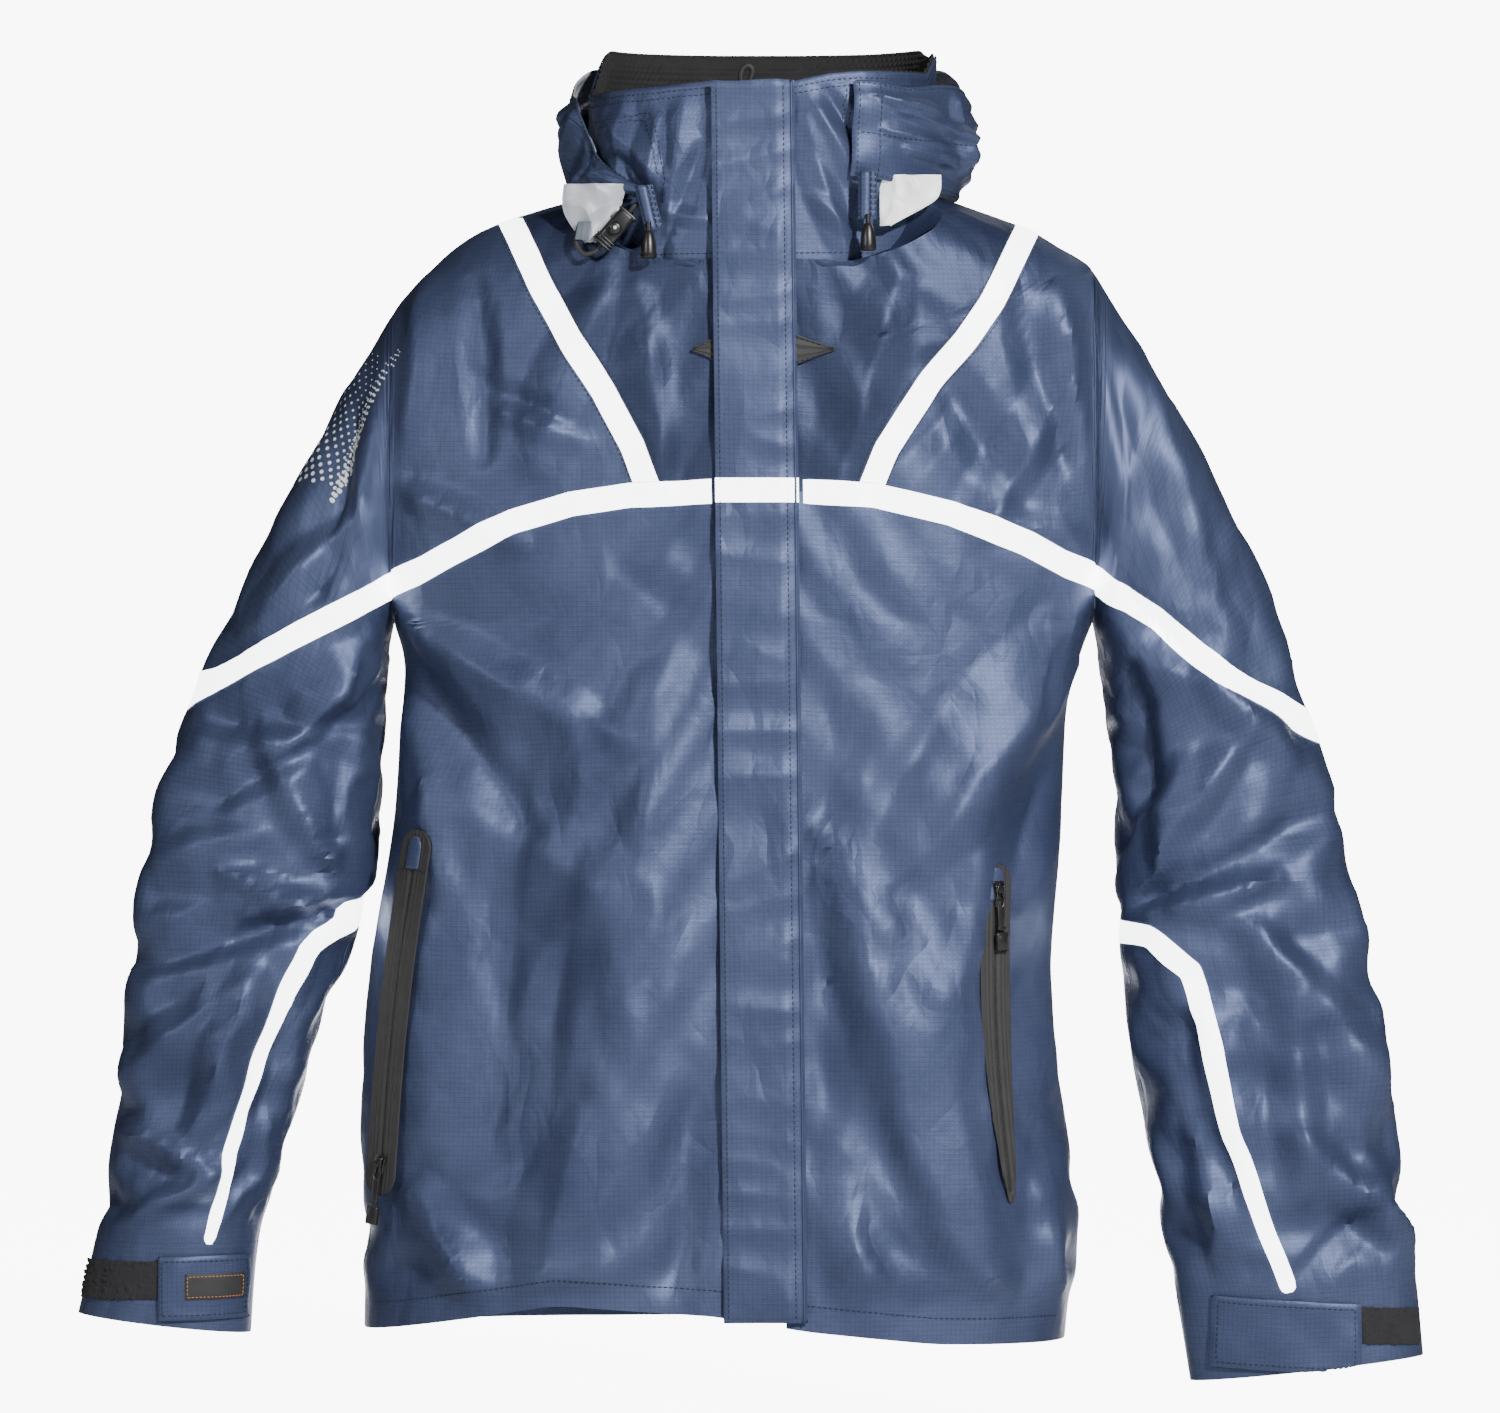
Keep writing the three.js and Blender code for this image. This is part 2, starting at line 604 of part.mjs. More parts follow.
// A slider clipped over its chain: a plate with two flanges and two ears for the pull.
function slider(top, halfWidth, clear, plateBack, flangeBack) {
  const { height, plate, ear, earBottom, earTop, earDepth } = sliderSize;
  let made = solidOf(box([-halfWidth, plateBack - plate, top - height], [halfWidth, plateBack, top]));
  for (const [x0, x1] of [[-halfWidth, -clear], [clear, halfWidth]]) {
    made = made.add(solidOf(box([x0, plateBack - 0.2, top - height], [x1, flangeBack, top])));
  }
  const [low, high] = [plateBack - earDepth, plateBack - plate + 0.2];
  for (const [x0, x1] of [[-ear[1], -ear[0]], ear]) {
    made = made.add(solidOf(box([x0, low, top - earBottom], [x1, high, top - earTop])));
  }
  return made;
}

// A pull hangs from its pivot between the slider's ears.
function pull(pivot, y, length) {
  const { narrow, wide, half } = pullSize;
  const outline = [
    [-narrow, 0.6], [narrow, 0.6], [narrow, -7], [wide, -10],
    [wide, -length], [-wide, -length], [-wide, -10], [-narrow, -7],
  ];
  return slab(outline, y - half, y + half).translate(0, 0, pivot);
}

// ---------- Pockets ----------

// A pocket is drawn upright, its zip from 0 up to its length, then laid on the front panel.
function pocketFrame(side) {
  const place = ([x, z]) => new THREE.Vector3(x, frontSurface(torsoStations, x, z), z);
  const [top, bottom] = [place(pocket[side].top), place(pocket[side].bottom)];
  const up = top.clone().sub(bottom);
  const length = up.length();
  up.normalize();
  const middle = top.clone().add(bottom).divideScalar(2);
  const across = place([middle.x + 8, middle.z]).sub(place([middle.x - 8, middle.z])).normalize();
  const inwards = new THREE.Vector3().crossVectors(up, across).normalize();
  const sideways = new THREE.Vector3().crossVectors(inwards, up);
  return { origin: bottom, sideways, inwards, up, length };
}

function pocketPieces(side) {
  const frame = pocketFrame(side);
  const group = new THREE.Group();
  group.matrix.makeBasis(frame.sideways, frame.inwards, frame.up);
  group.matrix.setPosition(frame.origin.clone().addScaledVector(frame.inwards, -pocketLift[side]));
  group.matrix.decompose(group.position, group.quaternion, group.scale);
  jacket.add(group);
  const piece = (name, shape, tint) => add(`${side}_pocket_${name}`, shape, tint, group);

  const half = welt.width / 2;
  const outline = new THREE.Shape();
  outline.absarc(0, frame.length, half, 0, Math.PI);
  outline.absarc(0, 0, half, Math.PI, 2 * Math.PI);
  const slot = new THREE.Path();
  slot.absarc(0, frame.length, welt.slot / 2, 0, Math.PI);
  slot.absarc(0, -4, welt.slot / 2, Math.PI, 2 * Math.PI);
  outline.holes.push(slot);
  const options = { depth: welt.thickness, bevelEnabled: false, curveSegments: 8 };
  piece("welt", new THREE.ExtrudeGeometry(outline, options).rotateX(Math.PI / 2), colour.black);
  const halfCoil = coil.width / 2;
  const coilBox = box([-halfCoil, -1, -2], [halfCoil, -1 + coil.thickness, frame.length + 2]);
  piece("zip_coil", coilBox, colour.black);
  const top = pocket[side].sliderAt === "top" ? frame.length : 14;
  piece("zip_slider", slider(top, 4.4, 2.5, -1.6, 0.2), colour.black);
  piece("zip_pull", pull(top - 4, -4.2, 42), colour.black);

  const inner = torsoLayer(pocketBag.lift, pocketBag.lift + pocketBag.thickness);
  const [xTop, zTop] = pocket[side].top;
  const [xBottom, zBottom] = pocket[side].bottom;
  const towards = side === "right" ? 1 : -1;
  const bag = [
    [xTop, zTop + 12], [xTop + towards * pocketBag.width[0], zTop - 20],
    [xTop + towards * pocketBag.width[1], zBottom - 25], [xBottom, zBottom - 12],
  ];
  add(`${side}_pocket_bag`, inner.intersect(inFront(bag)), colour.lining);
}

// ---------- Collar cords ----------

// A bell-shaped end hangs from its short tail of cord below the tunnel tab.
function bellEnd(side) {
  const [x, top] = cordEnd[side];
  const { length, ahead } = cordEnd;
  const profile = [
    [0, -length], [4.2, -length], [5.2, -length + 4], [4.6, -12], [2.6, -7], [1.6, -6], [1.6, 0], [0, 0],
  ];
  const points = profile.map(([radius, height]) => new THREE.Vector2(radius, height));
  const bell = new THREE.LatheGeometry(points, 12).rotateX(Math.PI / 2);
  add(`${side}_cord_end`, bell.translate(x, frontAt(top) - ahead, top), colour.black);
}

// The lock lies on the yoke with the hood cord running down through its length.
function cordLock() {
  const group = new THREE.Group();
  group.position.set(lock.x, lock.y, lock.z);
  group.rotation.y = lock.lean;
  jacket.add(group);
  const [halfWidth, halfLength] = [lock.width / 2, lock.length / 2];
  const round = (radius, length, sides) => new THREE.CylinderGeometry(radius, radius, length, sides);
  const body = solidOf(box([-halfWidth, lock.y0, -halfLength], [halfWidth, lock.y1, halfLength]));
  const socket = solidOf(round(5, 5.2, 20).translate(0, -2.2, 0));
  const hole = solidOf(round(2.2, 40, 12).rotateX(Math.PI / 2).translate(0, cordDepth, 0));
  add("cord_lock_body", body.subtract(socket).subtract(hole), colour.black, group);
  add("cord_lock_plunger", round(4.5, 4.6, 16).translate(0, -4.6, 0), colour.black, group);
}

// The hood cord leaves the collar under the hood cover, runs through the lock and turns back
// into the hood.
function hoodCord() {
  const down = new THREE.Vector3(-Math.sin(lock.lean), 0, -Math.cos(lock.lean));
  const middle = new THREE.Vector3(lock.x, lock.y + cordDepth, lock.z);
  const at = (distance, ...shift) =>
    middle.clone().addScaledVector(down, distance).add(new THREE.Vector3(...shift));
  const route = [at(-26, 1, 4, -3)];
  for (const distance of [-20, -13, 0, 13, 20]) route.push(at(distance, 0, 0, 0));
  route.push(at(27, -3, 1, 4), at(27, -8, 4, 12), at(22, -9, 8, 20));
  cord("hood_cord", route, 20, 4);
}

torsoPanels();
torsoTape();
for (const side of ["right", "left"]) {
  sleevePieces(side);
  cuffPieces(side);
  pocketPieces(side);
}
collarPieces();
hangingLoop();
frontClosure();
bellEnd("right");
bellEnd("left");
cordLock();
hoodCord();

export default jacket;
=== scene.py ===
"""Looks of the foul weather jacket: cloth, tapes, zips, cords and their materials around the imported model.

Lengths in the script are millimetres, in the model's frame: +Z up, the front towards -Y, the wearer's
right at -X. Everything is scaled to metres when its mesh is made.
"""
import math

import bmesh
import bpy
import numpy as np
from mathutils import Matrix, Vector
from mathutils.bvhtree import BVHTree


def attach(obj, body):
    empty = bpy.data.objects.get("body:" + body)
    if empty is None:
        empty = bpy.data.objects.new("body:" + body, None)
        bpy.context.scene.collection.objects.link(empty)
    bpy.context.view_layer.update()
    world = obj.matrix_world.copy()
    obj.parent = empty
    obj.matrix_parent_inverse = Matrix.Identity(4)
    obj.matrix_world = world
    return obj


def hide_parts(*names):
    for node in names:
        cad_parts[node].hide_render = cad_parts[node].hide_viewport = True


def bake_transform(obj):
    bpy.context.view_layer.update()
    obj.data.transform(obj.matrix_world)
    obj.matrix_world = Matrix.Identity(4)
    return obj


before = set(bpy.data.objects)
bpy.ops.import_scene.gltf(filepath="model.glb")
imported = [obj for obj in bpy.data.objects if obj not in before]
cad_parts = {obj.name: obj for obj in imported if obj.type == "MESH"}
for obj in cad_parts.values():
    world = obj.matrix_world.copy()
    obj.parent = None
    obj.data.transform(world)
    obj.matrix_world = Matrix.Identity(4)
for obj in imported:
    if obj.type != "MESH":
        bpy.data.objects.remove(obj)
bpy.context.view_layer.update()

MM = 0.001


def added(name, data):
    """A new object of a mesh, curve, camera or light, in the scene."""
    made = bpy.data.objects.new(name, data)
    bpy.context.scene.collection.objects.link(made)
    return made


# ---------- Camera ----------

CAMERA_PLACE = (-0.001, -5.0, -0.324)
VIEW_WIDTH = 0.99
SENSOR = 36.0
PLANE_OF_VIEW = -0.11


def make_camera():
    data = bpy.data.cameras.new("camera")
    data.sensor_width = SENSOR
    data.lens = SENSOR * (PLANE_OF_VIEW - CAMERA_PLACE[1]) / VIEW_WIDTH
    data.clip_end = 50
    camera = added("camera", data)
    camera.location = CAMERA_PLACE
    camera.rotation_euler = (math.pi / 2, 0, 0)
    bpy.context.scene.camera = camera


# ---------- Materials ----------

class Nodes:
    """A material's node tree, with short calls that add one node each."""

    def __init__(self, name):
        self.material = bpy.data.materials.new(name)
        self.material.use_nodes = True
        self.tree = self.material.node_tree
        self.shader = self.tree.nodes["Principled BSDF"]

    def add(self, kind, **settings):
        node = self.tree.nodes.new(kind)
        for key, value in settings.items():
            if hasattr(node, key):
                setattr(node, key, value)
            else:
                node.inputs[key.replace("_", " ")].default_value = value
        return node

    def link(self, out, into):
        self.tree.links.new(out, into)
        return into

    def math(self, operation, a, b=None):
        node = self.add("ShaderNodeMath", operation=operation)
        for socket, value in zip(node.inputs, (a, b)):
            if value is None:
                continue
            if isinstance(value, (int, float)):
                socket.default_value = value
            else:
                self.link(value, socket)
        return node.outputs[0]

    def place(self, scale=1.0, attribute=None):
        """Coordinates in millimetres / scale, of the cloth where an attribute is named."""
        if attribute:
            source = self.add("ShaderNodeAttribute", attribute_name=attribute).outputs["Vector"]
        else:
            source = self.add("ShaderNodeTexCoord").outputs["Object"]
        mapping = self.add("ShaderNodeMapping")
        mapping.inputs["Scale"].default_value = (1000 / scale,) * 3
        self.link(source, mapping.inputs["Vector"])
        return mapping.outputs["Vector"]

    def link_through(self, vector, node):
        self.link(vector, node.inputs["Vector"])
        return node.outputs["Vector"]

    def noise(self, coordinates, scale, detail=3.0, roughness=0.5):
        node = self.add("ShaderNodeTexNoise")
        node.inputs["Scale"].default_value = scale
        node.inputs["Detail"].default_value = detail
        node.inputs["Roughness"].default_value = roughness
        self.link(coordinates, node.inputs["Vector"])
        return node.outputs["Fac"]

    def ramp(self, value, low, high, colour_low, colour_high):
        node = self.add("ShaderNodeValToRGB")
        node.color_ramp.elements[0].position = low
        node.color_ramp.elements[1].position = high
        node.color_ramp.elements[0].color = (*colour_low, 1)
        node.color_ramp.elements[1].color = (*colour_high, 1)
        self.link(value, node.inputs["Fac"])
        return node.outputs["Color"]

    def bump(self, height, strength, distance):
        node = self.add("ShaderNodeBump")
        node.inputs["Strength"].default_value = strength
        node.inputs["Distance"].default_value = distance * MM
        self.link(height, node.inputs["Height"])
        previous = self.shader.inputs["Normal"]
        if previous.links:
            self.link(previous.links[0].from_socket, node.inputs["Normal"])
        self.link(node.outputs["Normal"], previous)

    def finish(self, roughness=0.5, **sockets):
        self.shader.inputs["Roughness"].default_value = roughness
        for key, value in sockets.items():
            self.shader.inputs[key.replace("_", " ")].default_value = value
        return self.material


LARGE_CRUMPLE = 4.0
SMALL_CRUMPLE = 0.7


def grid_lines(nodes, place, pitch, width):
    """A mask of the ripstop's thicker threads: 1 on a thread, 0 between."""
    split = nodes.add("ShaderNodeSeparateXYZ")
    nodes.link(place, split.inputs[0])
    masks = []
    for axis in ("X", "Y"):
        wave = nodes.math("PINGPONG", split.outputs[axis], pitch / 2)
        masks.append(nodes.math("LESS_THAN", wave, width / 2))
    return nodes.math("MAXIMUM", *masks)


def stretched(nodes, place, across, along):
    """Cloth coordinates scaled across and along its length."""
    mapping = nodes.add("ShaderNodeMapping")
    mapping.inputs["Scale"].default_value = (across, along, 1)
    return nodes.link_through(place, mapping)


def crumple(nodes, place, cell, length):
    """Flat facets between sharp folds, as on cloth that was packed: 0 on a fold, rising between."""
    wander = nodes.add("ShaderNodeTexNoise", Scale=0.8 / cell, Detail=1.0)
    nodes.link(place, wander.inputs["Vector"])
    shift = nodes.add("ShaderNodeVectorMath", operation="MULTIPLY_ADD")
    nodes.link(wander.outputs["Color"], shift.inputs[0])
    shift.inputs[1].default_value = (cell * 1.2,) * 3
    nodes.link(place, shift.inputs[2])
    cells = nodes.add("ShaderNodeTexVoronoi", feature="DISTANCE_TO_EDGE", voronoi_dimensions="2D", Scale=1.0)
    spread = stretched(nodes, shift.outputs[0], 1 / cell, 1 / length)
    nodes.link(spread, cells.inputs["Vector"])
    return cells.outputs["Distance"]


def ripstop(name, light, dark):
    nodes = Nodes(name)
    place = nodes.place(attribute="weave")
    threads = grid_lines(nodes, place, 3.2, 0.8)
    slub = nodes.noise(stretched(nodes, place, 0.05, 0.9), 1.0, 3, 0.65)
    tone = nodes.math("ADD", nodes.noise(place, 0.012, 4), nodes.math("MULTIPLY", slub, 0.35))
    colour = nodes.ramp(tone, 0.5, 0.85, dark, light)
    mix = nodes.add("ShaderNodeMix", data_type="RGBA", blend_type="MULTIPLY")
    nodes.link(nodes.math("MULTIPLY", threads, 0.24), mix.inputs["Factor"])
    nodes.link(colour, mix.inputs["A"])
    mix.inputs["B"].default_value = (0.45, 0.5, 0.6, 1)
    nodes.link(mix.outputs["Result"], nodes.shader.inputs["Base Color"])
    packed = nodes.ramp(nodes.noise(place, 0.009, 2), 0.35, 0.6, (0.15,) * 3, (1,) * 3)
    nodes.bump(nodes.math("MULTIPLY", crumple(nodes, place, 58, 150), packed), 1.0, LARGE_CRUMPLE)
    nodes.bump(nodes.math("MULTIPLY", crumple(nodes, place, 17, 34), packed), 1.0, SMALL_CRUMPLE)
    nodes.bump(nodes.noise(place, 0.06, 5, 0.6), 0.3, 1.1)
    nodes.bump(slub, 0.5, 0.16)
    nodes.bump(threads, 0.4, 0.12)
    return nodes.finish(0.49, Metallic=0.5, Specular_IOR_Level=0.3)


def plain(name, colour, roughness, grain=1.2, depth=0.08, **sockets):
    """Moulded or coated stuff with a fine grain and a little colour variation."""
    nodes = Nodes(name)
    place = nodes.place()
    tone = nodes.noise(place, 0.08, 4)
    shade = tuple(channel * 0.72 for channel in colour)
    nodes.link(nodes.ramp(tone, 0.3, 0.75, shade, colour), nodes.shader.inputs["Base Color"])
    nodes.bump(nodes.noise(place, grain, 3), 0.5, depth)
    return nodes.finish(roughness, **sockets)


# ---------- Form of the garment, repeated from the model ----------

FRONT_TOP = 85.0
FRONT_DEPTH = 160.0
FRONT_SLOPE = 0.04
FRONT_LEAN = 0.0105
SHOULDER_PLANE = {"right": -238.0, "left": 227.0}
SIGN = {"right": -1.0, "left": 1.0}

TORSO = np.array([
    [-738, -257, 208, 47, 2.8], [-660, -256, 216, 44, 2.8], [-600, -259, 208, 42, 2.8],
    [-500, -254, 199, 41, 2.8], [-400, -238, 206, 42, 2.7], [-300, -230, 212, 44, 2.6],
    [-265, -239, 228, 46, 2.5], [-240, -254, 241, 48, 2.4], [-210, -268, 255, 49, 2.4],
    [-170, -277, 265, 50, 2.4], [-130, -274, 266, 49, 2.4], [-90, -259, 260, 46, 2.4],
    [-62, -240, 248, 42, 2.4], [-40, -222, 236, 37, 2.3], [-20, -203, 212, 30, 2.3],
    [-6, -184, 190, 24, 2.3], [4, -158, 165, 20, 2.3], [12, -116, 130, 16, 2.3],
], float)
COLLAR = np.array([
    [-45, -110, 118, 14, 2.6], [0, -112, 120, 15, 2.6], [60, -110, 122, 18, 2.6],
    [125, -106, 124, 20, 2.6],
], float)
SLEEVE = {
    "right": np.array([
        [-272, -112, -241, -282, -62, 70], [-302, -172, -243, -302, -64, 68],
        [-338, -243, -244, -324, -67, 65], [-371, -312, -245, -350, -71, 62],
        [-388, -370, -247, -388, -75, 59], [-399, -430, -250, -430, -80, 57],
        [-407, -490, -268, -486, -85, 55], [-416, -560, -292, -552, -90, 51],
        [-425, -630, -312, -624, -95, 46], [-434, -676, -326, -677, -98, 42],
        [-445, -724, -331, -737, -101, 39],
    ], float),
    "left": np.array([
        [262, -88, 230, -282, -62, 70], [294, -146, 233, -304, -64, 68],
        [326, -212, 236, -328, -67, 65], [357, -285, 240, -354, -71, 62],
        [381, -365, 242, -397, -75, 59], [394, -435, 243, -435, -80, 57],
        [407, -495, 246, -495, -85, 55], [421, -560, 254, -562, -90, 51],
        [432, -640, 268, -646, -95, 45], [440, -706, 281, -714, -99, 38],
        [444, -752, 290, -769, -102, 33],
    ], float),
}
ELBOW = 5
CUFF = 9
CHEST_LINE = {
    "right": [[-20, -183], [-80, -184], [-118, -189], [-156, -200], [-198, -221], [-262, -256]],
    "left": [[36, -183], [80, -184], [131, -195], [180, -214], [233, -241], [262, -256]],
}
SHOULDER_LINE = {
    "right": [[-64, -190], [-78, -152], [-97, -116], [-117, -84], [-136, -50], [-160, 0], [-172, 30]],
    "left": [[74, -190], [88, -154], [117, -109], [140, -82], [158, -56], [182, -8], [196, 30]],
}
SLEEVE_LINE = {
    "right": [[-230, -240], [-262, -255], [-330, -290], [-400, -327]],
    "left": [[220, -235], [263, -262], [309, -299], [400, -350]],
}
FOREARM_LINE = {
    "right": [[-238, -449], [-262, -456], [-292, -480], [-316, -532], [-335, -588], [-356, -674]],
    "left": [[232, -467], [262, -472], [289, -494], [304, -545], [316, -604], [352, -704]],
}
YOKE_LINE = [[-262, -256], [-120, -196], [0, -184], [120, -196], [262, -256]]
HEM_FRONT = [[-257, -734], [-127, -713], [-24, -720], [36, -730], [120, -739], [208, -741]]


def front_at(z):
    return -FRONT_DEPTH - FRONT_SLOPE * (FRONT_TOP - z)


def centre_at(z):
    return 1 + FRONT_LEAN * (FRONT_TOP - z)


def signed_power(value, power):
    return np.sign(value) * np.abs(value) ** power


def smoothstep(value):
    value = np.clip(value, 0, 1)
    return value * value * (3 - 2 * value)


def smooth_rows(table, at):
    """Rows of a table at fractional positions, through a Catmull-Rom curve."""
    at = np.clip(np.asarray(at, float), 0, len(table) - 1)
    low = np.minimum(at.astype(int), len(table) - 2)
    t = (at - low)[..., None]
    before = table[np.maximum(low - 1, 0)]
    start = table[low]
    end = table[low + 1]
    after = table[np.minimum(low + 2, len(table) - 1)]
    return 0.5 * (2 * start + (end - before) * t + (2 * before - 5 * start + 4 * end - after) * t * t
                  + (3 * start - before - 3 * end + after) * t ** 3)


def sections(table, z):
    """Columns of a table of sections at some heights."""
    index = np.interp(z, table[:, 0], np.arange(len(table)))
    return np.moveaxis(smooth_rows(table, index), -1, 0)


def tube_point(table, angle, z):
    """Points of a tube of rounded rectangles at angles (0 = wearer's left, pi / 2 = back) and heights."""
    _, right, left, back, square = sections(table, z)
    front = front_at(z)
    x = (left + right) / 2 + (left - right) / 2 * signed_power(np.cos(angle), 2 / square)
    y = (back + front) / 2 + (back - front) / 2 * signed_power(np.sin(angle), 2 / square)
    return np.stack([x, y, z + 0 * x], -1)


def edge_of_torso(side, z):
    return sections(TORSO, z)[1 if side == "right" else 2]


def armhole_height(side, low, high):
    """Height between two where the torso's edge crosses the shoulder plane."""
    for _ in range(40):
        middle = (low + high) / 2
        inside = lambda z: abs(edge_of_torso(side, z)) < abs(SHOULDER_PLANE[side])
        if inside(middle) == inside(high):
            high = middle
        else:
            low = middle
    return (low + high) / 2


ARMHOLE = {side: (armhole_height(side, -300, -150), armhole_height(side, -150, -10)) for side in SIGN}

# ---------- Cloth grid: torso and sleeves in one net ----------

COLUMNS = 56
ROWS_BELOW = 48
ROWS_ARMHOLE = 26
ROWS_ABOVE = 8
ROWS = ROWS_BELOW + ROWS_ARMHOLE + ROWS_ABOVE + 1
NECK_DIP = 44.0
TORSO_TOP = 12.0
SLEEVE_STEPS = [(-1, 0, 5), (0, ELBOW, 26), (ELBOW, CUFF, 26), (CUFF, CUFF + 1, 6)]


def edge_heights(side):
    bottom, top = ARMHOLE[side]
    below = np.linspace(-738, bottom, ROWS_BELOW + 1)
    t = np.linspace(0, 1, ROWS_ARMHOLE + 1)
    within = bottom + (top - bottom) * (0.5 * t + 0.25 * (1 - np.cos(math.pi * t)))
    above = np.linspace(top, TORSO_TOP, ROWS_ABOVE + 1)
    return np.concatenate([below, within[1:], above[1:]])


def end_angle(side, z, row):
    """Angle at which a torso row ends: the side seam, or the armhole's edge on the front."""
    if not ROWS_BELOW < row < ROWS_BELOW + ROWS_ARMHOLE:
        return 0.0
    _, right, left, _, square = sections(TORSO, z)
    share = abs(SHOULDER_PLANE[side] - (left + right) / 2) / ((left - right) / 2)
    return math.acos(min(share, 1.0) ** (square / 2))


def even(points, count):
    """The same curve through a number of evenly spaced points."""
    steps = np.linalg.norm(np.diff(points, axis=0), axis=1)
    length = np.concatenate([[0], np.cumsum(steps)])
    at = np.linspace(0, length[-1], count)
    return np.stack([np.interp(at, length, points[:, axis]) for axis in range(3)], -1)


def torso_row(row, heights, front):
    z_right, z_left = heights["right"][row], heights["left"][row]
    first = end_angle("right", z_right, row)
    last = end_angle("left", z_left, row)
    angle = np.linspace(math.pi + first, 2 * math.pi - last, 321)
    share = np.linspace(0, 1, 321)
    z = z_right + (z_left - z_right) * share
    if front:
        off = np.abs(np.degrees(angle) - 270)
        rise = np.clip((z + 268) / (TORSO_TOP + 268), 0, 1)
        z = z - NECK_DIP * rise * (1 - np.clip((off - 13) / 40, 0, 1))
        points = tube_point(TORSO, angle, z)
        fall = np.interp(points[:, 0], *np.array(HEM_FRONT).T) + 738
        points[:, 2] += fall * np.clip((-600 - z) / 138, 0, 1)
    else:
        points = tube_point(TORSO, -angle, z)
    return even(points, COLUMNS + 1)


def sleeve_ring(side, index, count):
    """Points round a sleeve from its outer edge over the front, at a station."""
    angle = np.arange(count) * 2 * math.pi / count
    x_outer, z_outer, x_inner, z_inner, y, depth = smooth_rows(SLEEVE[side], index)
    across = np.cos(angle)
    return np.stack([
        (x_outer + x_inner) / 2 + (x_outer - x_inner) / 2 * across,
        y - depth * np.sin(angle),
        (z_outer + z_inner) / 2 + (z_outer - z_inner) / 2 * across,
    ], -1)


class Net:
    """Points, quads and chains of the garment's cloth, each quad with the number of its region."""

    def __init__(self):
        self.points = []
        self.quads = []
        self.regions = []
        self.chains = []

    def add(self, point):
        self.points.append(point)
        return len(self.points) - 1

    def quad(self, corners, region):
        self.quads.append(corners)
        self.regions.append(region)


FRONT, BACK, UPPER_RIGHT, UPPER_LEFT, FORE_RIGHT, FORE_LEFT, CUFF_RIGHT, CUFF_LEFT = range(8)
UPPER = {"right": UPPER_RIGHT, "left": UPPER_LEFT}
FORE = {"right": FORE_RIGHT, "left": FORE_LEFT}
CUFFS = {"right": CUFF_RIGHT, "left": CUFF_LEFT}


def torso_net(net):
    heights = {side: edge_heights(side) for side in SIGN}
    front = np.zeros((ROWS, COLUMNS + 1), int)
    back = np.zeros((ROWS, COLUMNS + 1), int)
    for row in range(ROWS):
        front[row] = [net.add(p) for p in torso_row(row, heights, True)]
        joined = not ROWS_BELOW < row < ROWS_BELOW + ROWS_ARMHOLE
        for column, point in enumerate(torso_row(row, heights, False)):
            shared = joined and column in (0, COLUMNS)
            back[row, column] = front[row, column] if shared else net.add(point)
    for row in range(ROWS - 1):
        for column in range(COLUMNS):
            a, b = front[row, column], front[row, column + 1]
            c, d = front[row + 1, column + 1], front[row + 1, column]
            net.quad((a, b, c, d), FRONT)
            a, b = back[row, column], back[row, column + 1]
            c, d = back[row + 1, column + 1], back[row + 1, column]
            net.quad((b, a, d, c), BACK)
    for row in range(ROWS):
        if ROWS_BELOW < row < ROWS_BELOW + ROWS_ARMHOLE:
            net.chains += [list(front[row]), list(back[row])]
        else:
            net.chains.append(list(front[row]) + list(back[row, -2::-1]) + [front[row, 1]])
    for column in range(COLUMNS + 1):
        net.chains += [list(front[:, column]), list(back[:, column])]
    return front, back


def sleeve_net(net, side, front, back):
    column = 0 if side == "right" else COLUMNS
    inner = 1 if side == "right" else COLUMNS - 1
    low, high = ROWS_BELOW, ROWS_BELOW + ROWS_ARMHOLE
    ring = [front[row, column] for row in range(high, low - 1, -1)]
    ring += [back[row, column] for row in range(low + 1, high)]
    before = [front[row, inner] for row in range(high, low - 1, -1)]
    before += [back[row, inner] for row in range(low + 1, high)]
    count = len(ring)
    rings = [ring]
    stations = [-1.0]
    for start, end, steps in SLEEVE_STEPS:
        stations += list(np.linspace(start, end, steps + 1)[1:])
    loop = np.array([net.points[i] for i in ring])
    for station in stations[1:]:
        points = sleeve_ring(side, max(station, 0), count)
        if station < 0:
            points = points + (loop - points) * smoothstep(-station)
        rings.append([net.add(p) for p in points])
    for at in range(len(rings) - 1):
        middle = (stations[at] + stations[at + 1]) / 2
        region = UPPER[side] if middle < ELBOW else FORE[side] if middle < CUFF else CUFFS[side]
        for k in range(count):
            corners = (rings[at][k], rings[at][(k + 1) % count],
                       rings[at + 1][(k + 1) % count], rings[at + 1][k])
            net.quad(corners[::-1] if side == "right" else corners, region)
    for one in rings:
        net.chains.append(one + one[:2])
    for k in range(count):
        net.chains.append([before[k]] + [one[k] for one in rings])
    return np.array(rings), np.array(stations)


# ---------- Settling the cloth ----------

